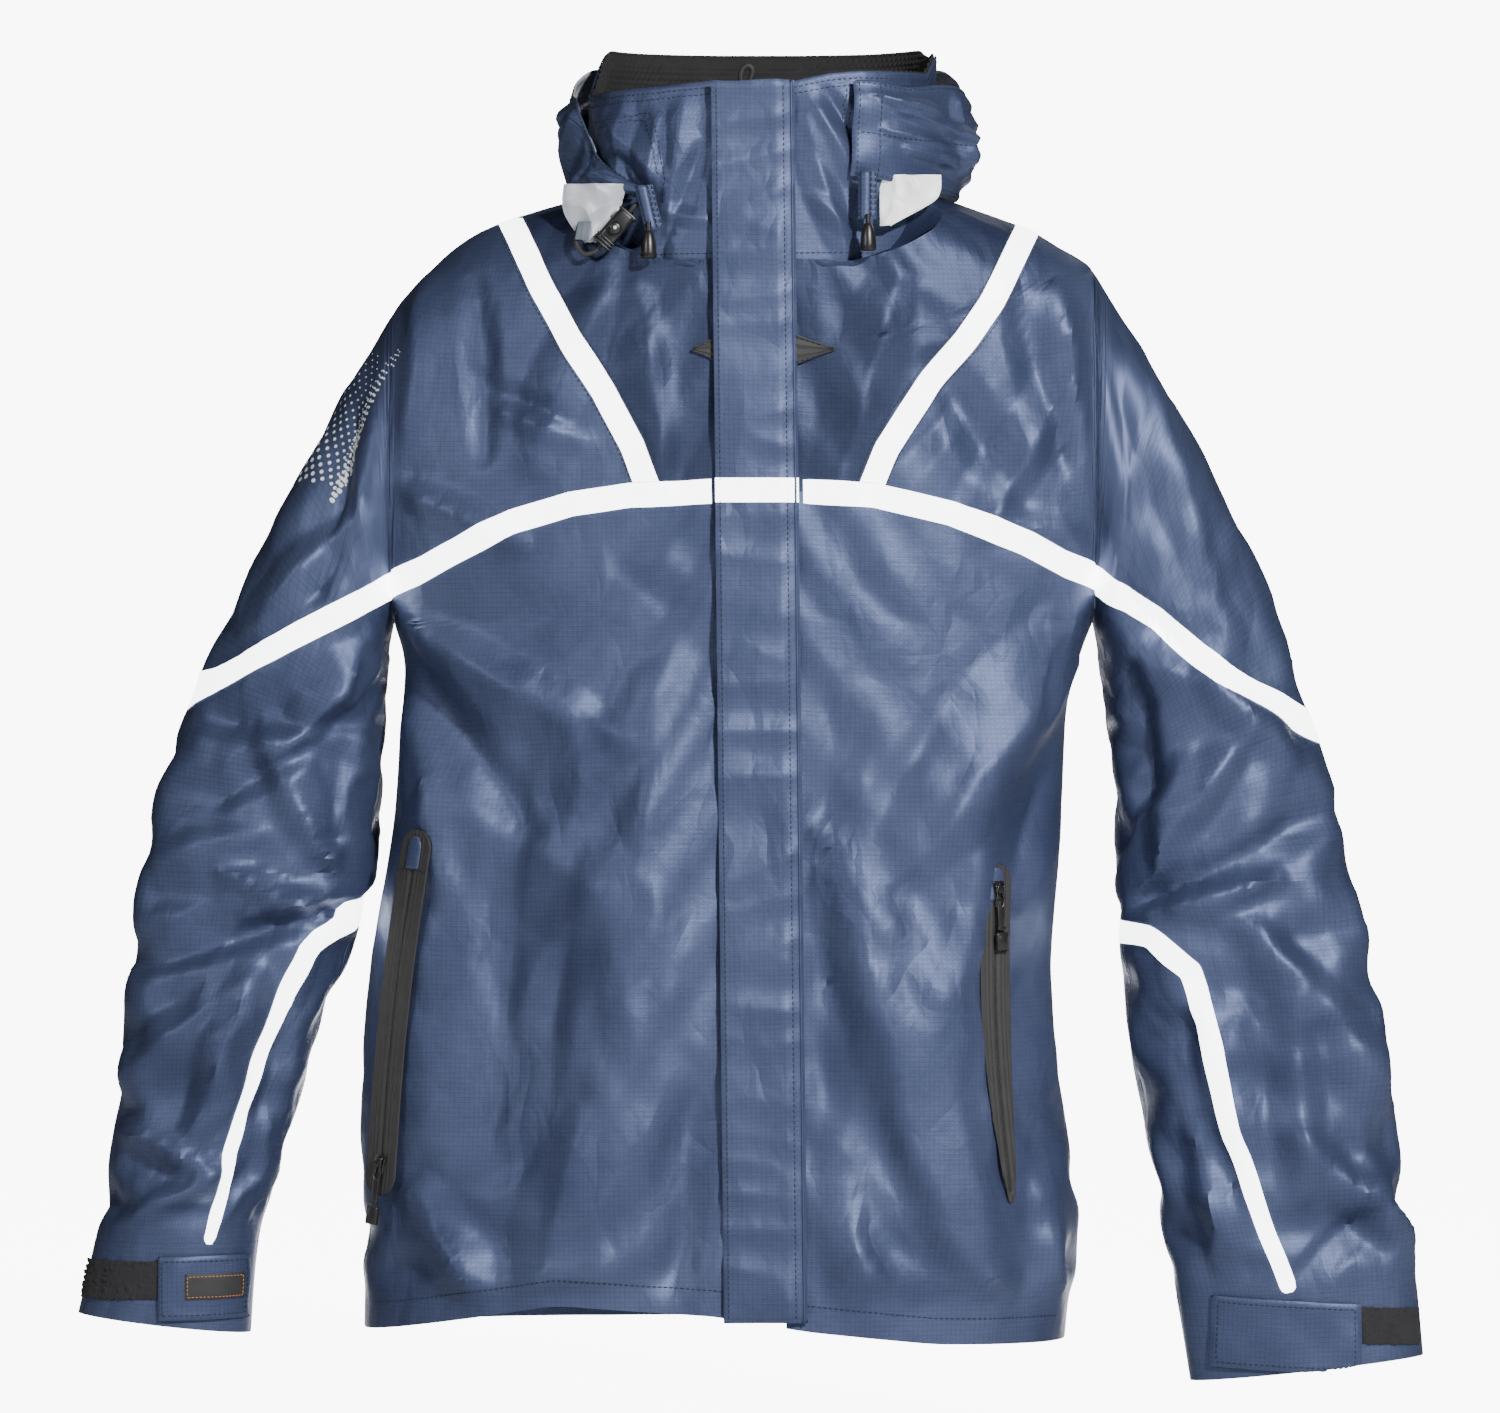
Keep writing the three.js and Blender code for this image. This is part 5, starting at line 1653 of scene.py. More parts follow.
def strip(name, x0, x1, low, high, y, thickness, material, columns=10, pitch=6.0):
    """A flat strip in the upright frame of the closure."""
    z = np.linspace(low, high, int((high - low) / pitch) + 2)[:, None]
    x = np.linspace(x0, x1, columns)[None] + 0 * z
    ripple = 0.15 * np.sin(x * 2.1)
    return sewn(name, onto_front(x, y - ripple, z + 0 * x), thickness, (material,), round_off=0.6)


def closure_pieces(stuff, threads):
    for side, x0, x1 in (("right", -24, -3), ("left", 3, 24)):
        piece = strip(f"{side}_zip_tape_weave", x0, x1, *CHAIN, 4.8, 0.8, stuff["webbing"])
        dressed(piece, "torso", "black_webbing", f"{side}_zip_tape")
        for across in (x0 + 3, x1 - 3):
            z = np.linspace(CHAIN[0] + 4, CHAIN[1] - 4, 300)
            threads["torso"].row(onto_front(np.full_like(z, across), 4.65, z))
    piece = strip("inner_placket_cloth", -25, 20, -715, 79, 9.0, 1.2, stuff["navy"], 14)
    dressed(piece, "torso", "navy_ripstop", "inner_placket")
    teeth = Parts()
    for at in np.arange(CHAIN[0] + 2, CHAIN[1] - 3, TOOTH_PITCH):
        for across, shift in ((-1.0, 0), (1.0, TOOTH_PITCH / 2)):
            teeth.origin = onto_front(across, 3.2, at + shift)
            teeth.block((0, 0, 0), (2.9, 3.4, 1.7), 0.5, 1)
    dressed(teeth.made("main_zip_teeth", stuff["plastic"]), "torso", "black_plastic", "main_zip_chain")
    for side, tip, root in (("right", -42.0, -15.0), ("left", 52.0, 15.0)):
        u = np.linspace(0.02, 1, 30)[None]
        v = np.linspace(-1, 1, 22)[:, None]
        x = tip + (root - tip) * u + 0 * v
        if tip > 0:
            x = x[:, ::-1]
        half = 14 * np.abs((x - tip) / (root - tip))
        grid = onto_front(x, -2.4 + 0.25 * np.cos(v * 9), -91 + half * v)
        piece = sewn(f"{side}_reinforcement_patch", grid, 0.8, (stuff["reinforcement"],), round_off=0.5)
        dressed(piece, "torso", "black_reinforcement", f"{side}_reinforcement")
        for edge in (-0.86, 0.86):
            reach = np.linspace(0.25, 0.95, 30)
            line = onto_front(tip + (root - tip) * reach, -2.75, -91 + 14 * reach * edge)
            threads["torso"].row(line)
    loop = catmull([(-26, 2.4, -14), (-20, 1.2, -6), (-10, 0, -2), (0, 0, -1.5), (10, 0, -2), (20, 1.2, -6),
                    (26, 2.4, -14)], 60)
    twist = 1 + 0.08 * np.sin(np.linspace(0, 90, 60))
    piece = cord_mesh("hanging_loop_cord", loop, 1.5 * twist, stuff["webbing"], 12)
    dressed(piece, "torso", "black_webbing", "hanging_loop")
    tag = Parts()
    tag.origin = onto_front(-4, -1.0, 88)
    bend = [
        (-3.4, 0.6, -6), (-4.0, 0.2, -1), (-3.0, -0.6, 4), (0.6, -1.0, 6.6),
        (3.6, -0.6, 4.2), (3.2, 0.2, 0), (1.4, 0.5, -5),
    ]
    tag.tube(catmull(bend, 30), 1.9, 8)
    tag.block((-1.0, 0.2, -4.6), (6.4, 2.6, 3.6), 0.9)
    dressed(tag.made("main_zip_loop", stuff["webbing"]), "main_zip_slider", "black_plastic")


BAGS = {"right": ((-213, -405), (-237, -632)), "left": ((157, -418), (166, -636))}


def bag_pieces(fine, stuff):
    """The pocket bags lie flat behind the front panels."""
    for side, ((x_top, z_top), (x_low, z_low)) in BAGS.items():
        towards = -SIGN[side]
        v, u = np.linspace(0, 1, 24)[:, None], np.linspace(0.06, 1, 16)[None]
        start_x, start_z = x_top + (x_low - x_top) * v, z_top + 10 + (z_low - z_top - 20) * v
        x = start_x + towards * (88 + 16 * v) * u
        z = start_z + (4 * v - 26) * u
        grid = laid(fine, x, z, (FRONT,), np.full(x.shape, -3.4))[::-1]
        if towards < 0:
            grid = grid[:, ::-1]
        piece = sewn(f"{side}_pocket_bag_mesh", grid, 1.0, (stuff["lining"],))
        dressed(piece, "torso", "silver_lining", f"{side}_pocket_bag")


# ---------- Small hard parts ----------

class Parts:
    """Rounded blocks, tubes and rings gathered in one mesh, each placed by a frame of three directions."""

    def __init__(self, origin=(0, 0, 0), axes=np.eye(3)):
        self.bm = bmesh.new()
        self.origin = np.array(origin, float)
        self.axes = np.array(axes, float)

    def placed(self, points):
        return self.origin + np.asarray(points, float) @ self.axes

    def block(self, middle, size, bevel=0.6, segments=3):
        made = bmesh.ops.create_cube(self.bm, size=1.0)["verts"]
        for vertex in made:
            vertex.co = Vector([m + c * s for m, c, s in zip(middle, vertex.co, size)])
        edges = list({edge for vertex in made for edge in vertex.link_edges})
        done = bmesh.ops.bevel(self.bm, geom=edges, offset=min(bevel, min(size) * 0.45), segments=segments,
                               profile=0.5, affect="EDGES")
        moved = {vertex for face in done["faces"] for vertex in face.verts} | {v for v in made if v.is_valid}
        linked = set()
        stack = list(moved)
        while stack:
            vertex = stack.pop()
            if vertex in linked:
                continue
            linked.add(vertex)
            stack += [edge.other_vert(vertex) for edge in vertex.link_edges]
        for vertex in linked:
            vertex.co = Vector(self.placed(vertex.co))
        return self

    def turned(self, profile, middle, axis=1, sides=24):
        """A profile of (radius, height) turned about an axis of the frame."""
        rows = []
        first = [k for k in range(3) if k != axis]
        for radius, height in profile:
            row = []
            for k in range(sides):
                angle = 2 * math.pi * k / sides
                point = np.array(middle, float)
                point[axis] += height
                point[first[0]] += radius * math.cos(angle)
                point[first[1]] += radius * math.sin(angle)
                row.append(self.bm.verts.new(self.placed(point)))
            rows.append(row)
        for low, high in zip(rows[:-1], rows[1:]):
            for k in range(sides):
                n = (k + 1) % sides
                self.bm.faces.new((low[k], low[n], high[n], high[k]))
        self.bm.faces.new(rows[0][::-1])
        self.bm.faces.new(rows[-1])
        return self

    def tube(self, path, radius, sides=8, closed=False):
        path = np.array(path, float)
        if closed:
            path = np.vstack([path, path[:1]])
        ways, ups = frames_along(path)
        if closed:
            ways[-1], ups[-1] = ways[0], ups[0]
        rows = []
        for point, way, up in zip(path, ways, ups):
            angles = np.arange(sides) * 2 * math.pi / sides
            ring = [point + radius * (way * math.cos(a) + up * math.sin(a)) for a in angles]
            rows.append([self.bm.verts.new(self.placed(place)) for place in ring])
        if closed:
            for vertex in rows.pop():
                self.bm.verts.remove(vertex)
            rows.append(rows[0])
        for low, high in zip(rows[:-1], rows[1:]):
            for k in range(sides):
                n = (k + 1) % sides
                self.bm.faces.new((low[k], low[n], high[n], high[k]))
        if not closed:
            self.bm.faces.new(rows[0][::-1])
            self.bm.faces.new(rows[-1])
        return self

    def made(self, name, material):
        bmesh.ops.recalc_face_normals(self.bm, faces=self.bm.faces)
        mesh = bpy.data.meshes.new(name)
        self.bm.to_mesh(mesh)
        self.bm.free()
        mesh.transform(Matrix.Scale(MM, 4))
        mesh.materials.append(material)
        for polygon in mesh.polygons:
            polygon.use_smooth = True
        mesh.set_sharp_from_angle(angle=SHARP)
        return added(name, mesh)


# ---------- Hood cord, its lock and the cord ends ----------

LOCK_PLACE = np.array([-89.0, -167.0, -12.0])
LOCK_LEAN = 0.72
CORD_RADIUS = 1.5


def catmull(points, count):
    table = np.array(points, float)
    return smooth_rows(table, np.linspace(0, len(table) - 1, count))


def cord_route():
    """Points of the hood cord: down through its lock and back up behind it."""
    down = np.array([-math.sin(LOCK_LEAN), 0, -math.cos(LOCK_LEAN)])
    middle = LOCK_PLACE + [0, 2.9, 0]
    straight = [(at, (0, 0, 0)) for at in (-20, -13, 0, 13, 20)]
    steps = [(-26, (1, 4, -3)), *straight, (27, (-3, 1, 4)), (27, (-8, 4, 12)), (22, (-9, 8, 20))]
    return np.array([middle + down * distance + np.array(shift) for distance, shift in steps])


def hood_cord(stuff):
    path = catmull(cord_route(), 33)
    curve = bpy.data.curves.new("hood_cord_run", "CURVE")
    curve.dimensions = "3D"
    spline = curve.splines.new("POLY")
    spline.points.add(len(path) - 1)
    for point, place in zip(spline.points, path):
        point.co = (*(place * MM), 1)
    curve.bevel_depth = CORD_RADIUS * MM
    curve.bevel_resolution = 4
    curve.use_fill_caps = True
    curve.materials.append(stuff["cord"])
    cord = added("hood_cord_run", curve)
    dressed(cord, "torso", "black_cord", "hood_cord")


def cord_lock(stuff):
    down = np.array([-math.sin(LOCK_LEAN), 0, -math.cos(LOCK_LEAN)])
    side = np.array([math.cos(LOCK_LEAN), 0, -math.sin(LOCK_LEAN)])
    axes = np.array([side, [0, 1, 0], -down])
    parts = Parts(LOCK_PLACE, axes)
    parts.block((0, 1.2, 0), (12.5, 8.6, 29), 3.2, 4)
    parts.block((0, -2.9, 4), (9, 2.2, 17), 1.0)
    for at in (-13.4, -11.2, -9.0):
        parts.block((0, 0.8, at), (14.2, 9.6, 1.1), 0.5, 2)
    parts.block((0, 1.0, 12.6), (14, 9.2, 3.0), 1.2, 3)
    dressed(parts.made("cord_lock_shell", stuff["plastic"]), "cord_lock", "black_plastic", "cord_lock_body")
    button = Parts(LOCK_PLACE, axes)
    button.turned([(0.4, -7.0), (2.6, -6.9), (3.9, -6.3), (4.4, -5.2), (4.4, -3.2), (0.4, -3.2)], (0, 0, 0))
    dressed(button.made("cord_lock_button", stuff["plastic"]), "cord_lock_plunger", "black_plastic",
            "cord_lock_plunger")
    rivet = Parts(LOCK_PLACE, axes)
    rivet.turned([(0.2, -7.7), (0.9, -7.55), (1.3, -7.1), (1.3, -6.7), (0.2, -6.7)], (0, 0, 0), sides=16)
    dressed(rivet.made("cord_lock_rivet", stuff["steel"]), "cord_lock_plunger", "black_plastic")


BELL = [(0.3, -24), (4.0, -24), (4.9, -23.4), (5.2, -22), (5.2, -20), (4.9, -16), (4.3, -11.6), (3.3, -8.6),
        (2.7, -6.9), (2.1, -6.1), (1.7, -5.9), (1.6, 0), (0.3, 0)]
CORD_ENDS = {"right": (-67.0, -8.0), "left": (76.0, -3.0)}
TUNNELS = {"right": ((-70.5, 16), (-63.5, -13)), "left": ((75.5, 25), (75.5, -6))}


def cord_ends(stuff, threads):
    for side, (x, top) in CORD_ENDS.items():
        parts = Parts((x, front_at(top) - 9, top))
        parts.turned(BELL, (0, 0, 0), axis=2, sides=28)
        turn = np.arange(28) * math.pi / 14
        for height in (-22.6, -21.4):
            ring = [(5.15 * math.cos(a), 5.15 * math.sin(a), height) for a in turn]
            parts.tube(ring, 0.35, 6, closed=True)
        dressed(parts.made(f"{side}_cord_bell", stuff["bell"]), f"{side}_cord_end", "black_plastic",
                f"{side}_cord_end")
        (x0, z0), (x1, z1) = TUNNELS[side]
        v = np.linspace(0, 1, 24)[:, None]
        u = np.linspace(-6.2, 6.2, 26)[None]
        x = x0 + (x1 - x0) * v + u
        z = z0 + (z1 - z0) * v + 0 * u
        bulge = 1.9 * np.sqrt(np.clip(1 - ((u + 1.4) / 3.4) ** 2, 0, 1)) + 0.35 * np.sin(z * 1.6) * (u > 2.4)
        y = front_at(z) - 5.2 - bulge
        grid = np.stack([x, y, z], -1)[::-1]
        piece = sewn(f"{side}_tunnel_tab", grid, 1.4, (stuff["navy"],), round_off=1)
        dressed(piece, "torso", "navy_ripstop")
        for across in (-5.4, 2.6, 5.4):
            line = np.stack([x0 + (x1 - x0) * v[:, 0] + across, front_at(z[:, 0]) - 5.5, z[:, 0]], -1)
            threads["collar"].row(line)


# ---------- Pockets ----------

POCKET = {
    "right": {"origin": (-237, -140.79, -632), "sideways": (0.7722, -0.6303, -0.0806),
              "inwards": (0.6264, 0.7763, -0.0703), "up": (0.1069, 0.0038, 0.9943),
              "length": 215.2, "lift": 9.0, "slider": 14.0, "bow": -4.0, "half": 13.0, "tip": False},
    "left": {"origin": (166, -160.95, -636), "sideways": (0.8534, 0.5208, 0.0209),
             "inwards": (-0.5192, 0.8530, -0.0530), "up": (-0.0454, 0.0344, 0.9984),
             "length": 198.3, "lift": 5.0, "slider": 198.3, "bow": -5.0, "half": 11.5, "tip": True},
}


class Pocket:
    """A pocket's frame: u across its welt, d into the cloth, v up from the foot of the zip."""

    def __init__(self, side):
        facts = POCKET[side]
        self.axes = np.array([facts["sideways"], facts["inwards"], facts["up"]])
        self.origin = np.array(facts["origin"]) - self.axes[1] * facts["lift"]
        self.length = facts["length"]
        self.slider = facts["slider"]
        self.bow = facts["bow"]
        self.half = facts["half"]
        self.tip = facts["tip"]

    def place(self, u, d, v):
        u, d, v = np.broadcast_arrays(np.asarray(u, float), np.asarray(d, float), np.asarray(v, float))
        return self.origin + np.stack([u, d, v], -1) @ self.axes

    def middle(self, v):
        return self.bow * np.sin(np.pi * np.clip(v / self.length, 0, 1))

    def half_width(self, v):
        """Half the strip's width: an arch on top, and a round end or a tip below."""
        top = np.sqrt(np.clip(1 - np.clip((v - self.length) / self.half, 0, 1) ** 2, 0, 1))
        if self.tip:
            low = np.clip((v + 13) / 120, 0, 1) ** 0.45
        else:
            low = np.sqrt(np.clip(1 - np.clip(-v / self.half, 0, 1) ** 2, 0, 1))
        return np.maximum(self.half * top * low, 0.05)


def pocket_pieces(side, stuff, threads):
    pocket = Pocket(side)
    v = np.linspace(-12.9, pocket.length + pocket.half - 0.05, 190)[:, None]
    t = np.linspace(-1, 1, 61)[None]
    u = pocket.middle(v) + pocket.half_width(v) * t
    off = u - pocket.middle(v)
    slit = np.clip((v + 7) / 2, 0, 1) * np.clip((pocket.length - 8 - v) / 2, 0, 1)
    groove = 1.3 * np.exp(-(off / 1.0) ** 2) * slit
    ribs = 0.14 * np.cos(off * 2 * math.pi / 3.1) * (np.abs(off) < 8)
    dome = 0.5 * np.clip(1 - np.abs(off) / 14, 0, 1)
    d = -1.0 - dome - ribs + groove
    grid = pocket.place(u, d, v)
    piece = sewn(f"{side}_pocket_strip", grid, 1.3, (stuff["rubber"],), round_off=0.8)
    dressed(piece, "torso", "pocket_welt", f"{side}_pocket_welt")
    teeth = Parts(pocket.origin, pocket.axes)
    for at in np.arange(-5, pocket.length - 8, 2.1):
        middle = float(pocket.middle(at))
        for aside, shift in ((-0.45, 0), (0.45, 1.05)):
            teeth.block((middle + aside, -0.65, at + shift), (0.8, 0.7, 0.9), 0.2, 1)
    dressed(teeth.made(f"{side}_pocket_teeth", stuff["plastic"]), "torso", "black_plastic",
            f"{side}_pocket_zip_coil")
    v = np.linspace(pocket.length - 13, pocket.length + 8.5, 26)[:, None]
    width = 5.8 - 1.4 * np.clip((v - pocket.length) / 8.5, 0, 1) ** 2 * 2
    across = np.linspace(-1, 1, 16)[None]
    u = pocket.middle(v) + width * across
    d = -2.0 - 0.9 * np.sqrt(np.clip(1 - across ** 2, 0, 1)) + 0 * v
    piece = sewn(f"{side}_zip_garage", pocket.place(u, d, v), 0.9, (stuff["navy"],), round_off=0.8)
    dressed(piece, "torso", "navy_ripstop")
    if not pocket.tip:
        line = pocket.place(np.linspace(-12.5, 12.5, 20), -1.75, np.full(20, pocket.length - 13.5))
        threads["torso"].row(line)
    slider_pieces(side, pocket, stuff)


def slider_pieces(side, pocket, stuff):
    top = pocket.slider
    body = Parts(pocket.origin, pocket.axes)
    body.block((0, -2.5, top - 6.5), (7.6, 1.7, 12.6), 0.8)
    body.block((0, -2.6, top - 3), (8.8, 1.6, 5.0), 0.8)
    body.block((0, -4.4, top - 5.2), (2.6, 2.6, 6.4), 0.7)
    for x in (-2.9, 2.9):
        bridge = [(x, -3.6, top - 2.2), (x, -5.2, top - 3.2), (x, -5.2, top - 6.2), (x, -3.4, top - 7.4)]
        body.tube(bridge, 0.7)
    slider = f"{side}_pocket_zip_slider"
    dressed(body.made(f"{side}_pocket_slider_body", stuff["metal"]), slider, "black_plastic", slider)
    pivot = top - 4
    pull = Parts(pocket.origin, pocket.axes)
    ring = [(2.3 * math.cos(a) * (1 + 0.35 * (math.sin(a) < 0)), -4.6, pivot - 6.5 + 7.4 * math.sin(a))
            for a in np.arange(28) * math.pi / 14]
    pull.tube(ring, 0.75, 8, closed=True)
    pull.block((0, -4.4, pivot - 20), (5.4, 1.5, 16), 0.6)
    pull.block((0, -4.5, pivot - 27.5), (6.4, 2.2, 2.2), 0.6)
    pull.block((0, -4.5, pivot - 36), (9.6, 3.4, 12.0), 1.3, 4)
    pull.block((0, -6.1, pivot - 36), (6.4, 0.7, 8.2), 0.3, 2)
    name = f"{side}_pocket_zip_pull"
    dressed(pull.made(f"{side}_pocket_pull_tag", stuff["bell"]), name, "black_plastic", name)


# ---------- Cuffs ----------

CUFF_PIECES = {
    "right": {"patch": (-446, -387, -689, -714), "tab": (-389, -333, -685, -727), "skew": 0.02},
    "left": {"patch": (393, 446, -718, -742), "tab": (303, 400, -711, -758), "skew": -0.06},
}


def laid(fine, x, z, numbers, lift):
    """A grid of points on the settled cloth above places of the form, lifted off it."""
    grid = np.zeros(x.shape + (3,))
    for at in np.ndindex(x.shape):
        place, normal = fine.locate(x[at], z[at], numbers)
        grid[at] = place + normal * lift[at]
    return grid


def slanted(facts, name, x0, x1, columns, rows):
    """Places in (x, z) of a slanted patch or tab, from x0 to x1."""
    first, _, top, bottom = facts[name]
    u = np.linspace(0, 1, columns)[None]
    v = np.linspace(0, 1, rows)[:, None]
    x = x0 + (x1 - x0) * u + 0 * v
    return x, bottom + (top - bottom) * v + (x - first) * facts["skew"]


def cuff_pieces(fine, side, stuff, threads):
    facts = CUFF_PIECES[side]
    numbers = (CUFFS[side], FORE[side])
    limit = SLEEVE[side][-1, 0]
    x0, x1 = facts["patch"][:2]
    x0, x1 = (max(x0, limit + 4), x1) if side == "right" else (x0, min(x1, limit - 4))
    x, z = slanted(facts, "patch", x0, x1, 60, 28)
    pile = 0.45 * np.abs(cloud_on(np.stack([x, 0 * x, z], -1), 3.4, 91))
    grid = laid(fine, x, z, numbers, 1.6 + pile)
    piece = sewn(f"{side}_loop_pile", grid, 1.2, (stuff["loop"],), round_off=0.8)
    dressed(piece, f"{side}_forearm", "loop_tape", f"{side}_cuff_loop_patch")
    x, z = slanted(facts, "tab", *facts["tab"][:2], 44, 26)
    wave = 0.5 * cloud_on(np.stack([x, 0 * x, z], -1), 40, 92)
    grid = laid(fine, x, z, numbers, 3.9 + wave)
    piece = sewn(f"{side}_tab_cloth", grid, 1.9, (stuff["navy"], stuff["loop"]), round_off=1.1)
    dressed(piece, f"{side}_cuff_tab", "dark_ripstop", f"{side}_cuff_tab")
    normals = grid_normals(grid)
    around = np.concatenate([grid[2, 2:-2], grid[2:-2, -3], grid[-3, -3:1:-1], grid[-3:1:-1, 2]])
    ways = np.concatenate([normals[2, 2:-2], normals[2:-2, -3], normals[-3, -3:1:-1], normals[-3:1:-1, 2]])
    threads[f"{side}_tab"].row(around, ways)
    if side == "right":
        label = grid[8:19, 13:41] + normals[8:19, 13:41] * 0.9
        piece = sewn("cuff_label", label, 0.8, (stuff["label"],), round_off=0.5)
        dressed(piece, "right_cuff_tab", "black_webbing")
        frame_line = np.concatenate([label[1, 1:-1], label[1:-1, -2], label[-2, -2:0:-1], label[-2:0:-1, 1]])
        ways = np.tile(normals[13, 27], (len(frame_line), 1))
        threads["label"].row(frame_line, ways, radius=0.32, stitch=2.2, gap=0.4)


# ---------- Seams and print on the cloth ----------

def seam_rows(fine, threads):
    for behind, numbers in ((False, (FRONT,)), (True, (BACK,))):
        x = np.linspace(-248, 200, 150)
        z = (np.interp(x, *np.array(HEM_FRONT).T) if not behind else -738 + 0 * x) + 17
        found = [fine.locate(a, b, numbers, behind) for a, b in zip(x, z)]
        found = [f for f, a in zip(found, x) if behind or abs(a - 8) > 22]
        points, normals = map(np.array, zip(*found))
        split = np.nonzero(np.linalg.norm(np.diff(points, axis=0), axis=1) > 20)[0] + 1
        for part, ways in zip(np.split(points, split), np.split(normals, split)):
            threads["torso"].row(part + ways * 0.15, ways)
    for side in SIGN:
        for shift in (-3.5, 3.5):
            line = catmull(SHOULDER_LINE[side], 60)
            ways = unit(np.gradient(line, axis=0))
            line = line + np.stack([-ways[:, 1], ways[:, 0]], -1) * (TAPE_WIDTH / 2 + 1.5) * np.sign(shift)
            found = [fine.locate(a, b, (FRONT,)) for a, b in line if b < 6]
            points, normals = map(np.array, zip(*found))
            threads["torso"].row(points + normals * 0.1, normals)


DOT_PITCH = 4.4


def sleeve_print(fine, stuff):
    """A plain fade of round dots on the wearer's right upper sleeve."""
    points, faces = [], []
    for row in range(30):
        for column in range(20):
            x = -236 - DOT_PITCH * 0.86 * column
            z = -58 - DOT_PITCH * (row + 0.5 * (column % 2))
            down = (-58 - z) / 116
            edge = -238 - 0.40 * (-58 - z)
            inside = (x < edge + 12) and (x > edge - 40) and down < 1
            fade = down * (1 - 0.75 * abs((edge - 14 - x) / 27))
            radius = 0.25 + 1.75 * max(fade, 0)
            if not inside or radius < 0.5:
                continue
            place, normal = fine.locate(x, z, (UPPER_RIGHT, FRONT))
            if normal[1] > -0.15:
                continue
            aside = unit(np.cross(normal, [0.1, 0.2, 1.0]))
            up = np.cross(aside, normal)
            first = len(points)
            for lift in (0.05, 0.22):
                for k in range(12):
                    a = 2 * math.pi * k / 12
                    points.append(place + normal * lift + radius * (aside * math.cos(a) + up * math.sin(a)))
            faces.append(tuple(range(first + 12, first + 24)))
            faces.append(tuple(range(first + 11, first - 1, -1)))
            for k in range(12):
                n = (k + 1) % 12
                faces.append((first + k, first + n, first + 12 + n, first + 12 + k))
    mesh = bpy.data.meshes.new("sleeve_dots")
    mesh.from_pydata((np.array(points) * MM).tolist(), [], faces)
    mesh.materials.append(stuff["silver_print"])
    bm = bmesh.new()
    bm.from_mesh(mesh)
    bmesh.ops.recalc_face_normals(bm, faces=bm.faces)
    bm.to_mesh(mesh)
    bm.free()
    dots = added("sleeve_dots", mesh)
    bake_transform(dots)
    covered(dots, "reflective_tape")


# ---------- Stage and light ----------

FLOOR_HEIGHT = -0.85
FLOOR_FRONT = -6.5
FLOOR_HALF = 7.0
PAPER_GLOW = 9.0
PAPER_NEAR = 0.5
SKY_LIGHT = 0.04


def paper_half(y):
    """Half the width of the white paper behind the object: it widens with the distance."""
    return 0.104 * (y - CAMERA_PLACE[1]) + 0.05


def make_stage():
    """A pale floor with white paper on it, from behind the object back as far as the camera sees."""
    mesh = bpy.data.meshes.new("floor")
    rows = [(FLOOR_FRONT, PAPER_NEAR), (PAPER_NEAR, PAPER_NEAR), (FLOOR_HALF, FLOOR_HALF)]
    points = []
    for y, at in rows:
        half = paper_half(at)
        points += [(x, y, FLOOR_HEIGHT) for x in (-FLOOR_HALF, -half, half, FLOOR_HALF)]
    faces = [(4 * i + k, 4 * i + k + 1, 4 * i + k + 5, 4 * i + k + 4)
             for i in range(len(rows) - 1) for k in range(3)]
    mesh.from_pydata(points, [], faces)
    for name, glow in (("studio_floor", 0.0), ("studio_paper", PAPER_GLOW)):
        nodes = Nodes(name)
        nodes.shader.inputs["Base Color"].default_value = (0.9, 0.9, 0.9, 1)
        mesh.materials.append(nodes.finish(0.9, Emission_Color=(1, 1, 1, 1), Emission_Strength=glow))
    behind_the_object = mesh.polygons[4]
    behind_the_object.material_index = 1
    added("floor", mesh)


def area_light(name, place, target, size, power, colour=(1, 1, 1)):
    data = bpy.data.lights.new(name, "AREA")
    data.shape = "RECTANGLE"
    data.size, data.size_y = size
    data.energy = power
    data.color = colour
    light = added(name, data)
    light.location = place
    towards = Vector(target) - Vector(place)
    light.rotation_euler = towards.to_track_quat("-Z", "Y").to_euler()


def background(tree, colour, strength):
    node = tree.nodes.new("ShaderNodeBackground")
    node.inputs[0].default_value = (*colour, 1)
    node.inputs[1].default_value = strength
    return node


def make_world():
    """A dim sky for light, which shows as the same white as the paper."""
    world = bpy.data.worlds.new("studio")
    world.use_nodes = True
    tree = world.node_tree
    dim = background(tree, (0.95, 0.97, 1), SKY_LIGHT)
    white = background(tree, (1, 1, 1), PAPER_GLOW)
    seen = tree.nodes.new("ShaderNodeLightPath")
    mix = tree.nodes.new("ShaderNodeMixShader")
    tree.links.new(seen.outputs["Is Camera Ray"], mix.inputs[0])
    tree.links.new(dim.outputs[0], mix.inputs[1])
    tree.links.new(white.outputs[0], mix.inputs[2])
    tree.links.new(mix.outputs[0], tree.nodes["World Output"].inputs[0])
    bpy.context.scene.world = world


def make_lights():
    make_world()
    middle = (0, -0.1, -0.35)
    area_light("key", (1.6, -3.2, 1.5), middle, (0.25, 0.25), 235)
    area_light("fill", (-2.2, -2.6, 0.9), middle, (0.5, 0.5), 34)
    area_light("back", (0.6, 2.4, 1.8), middle, (1.6, 1.0), 8)


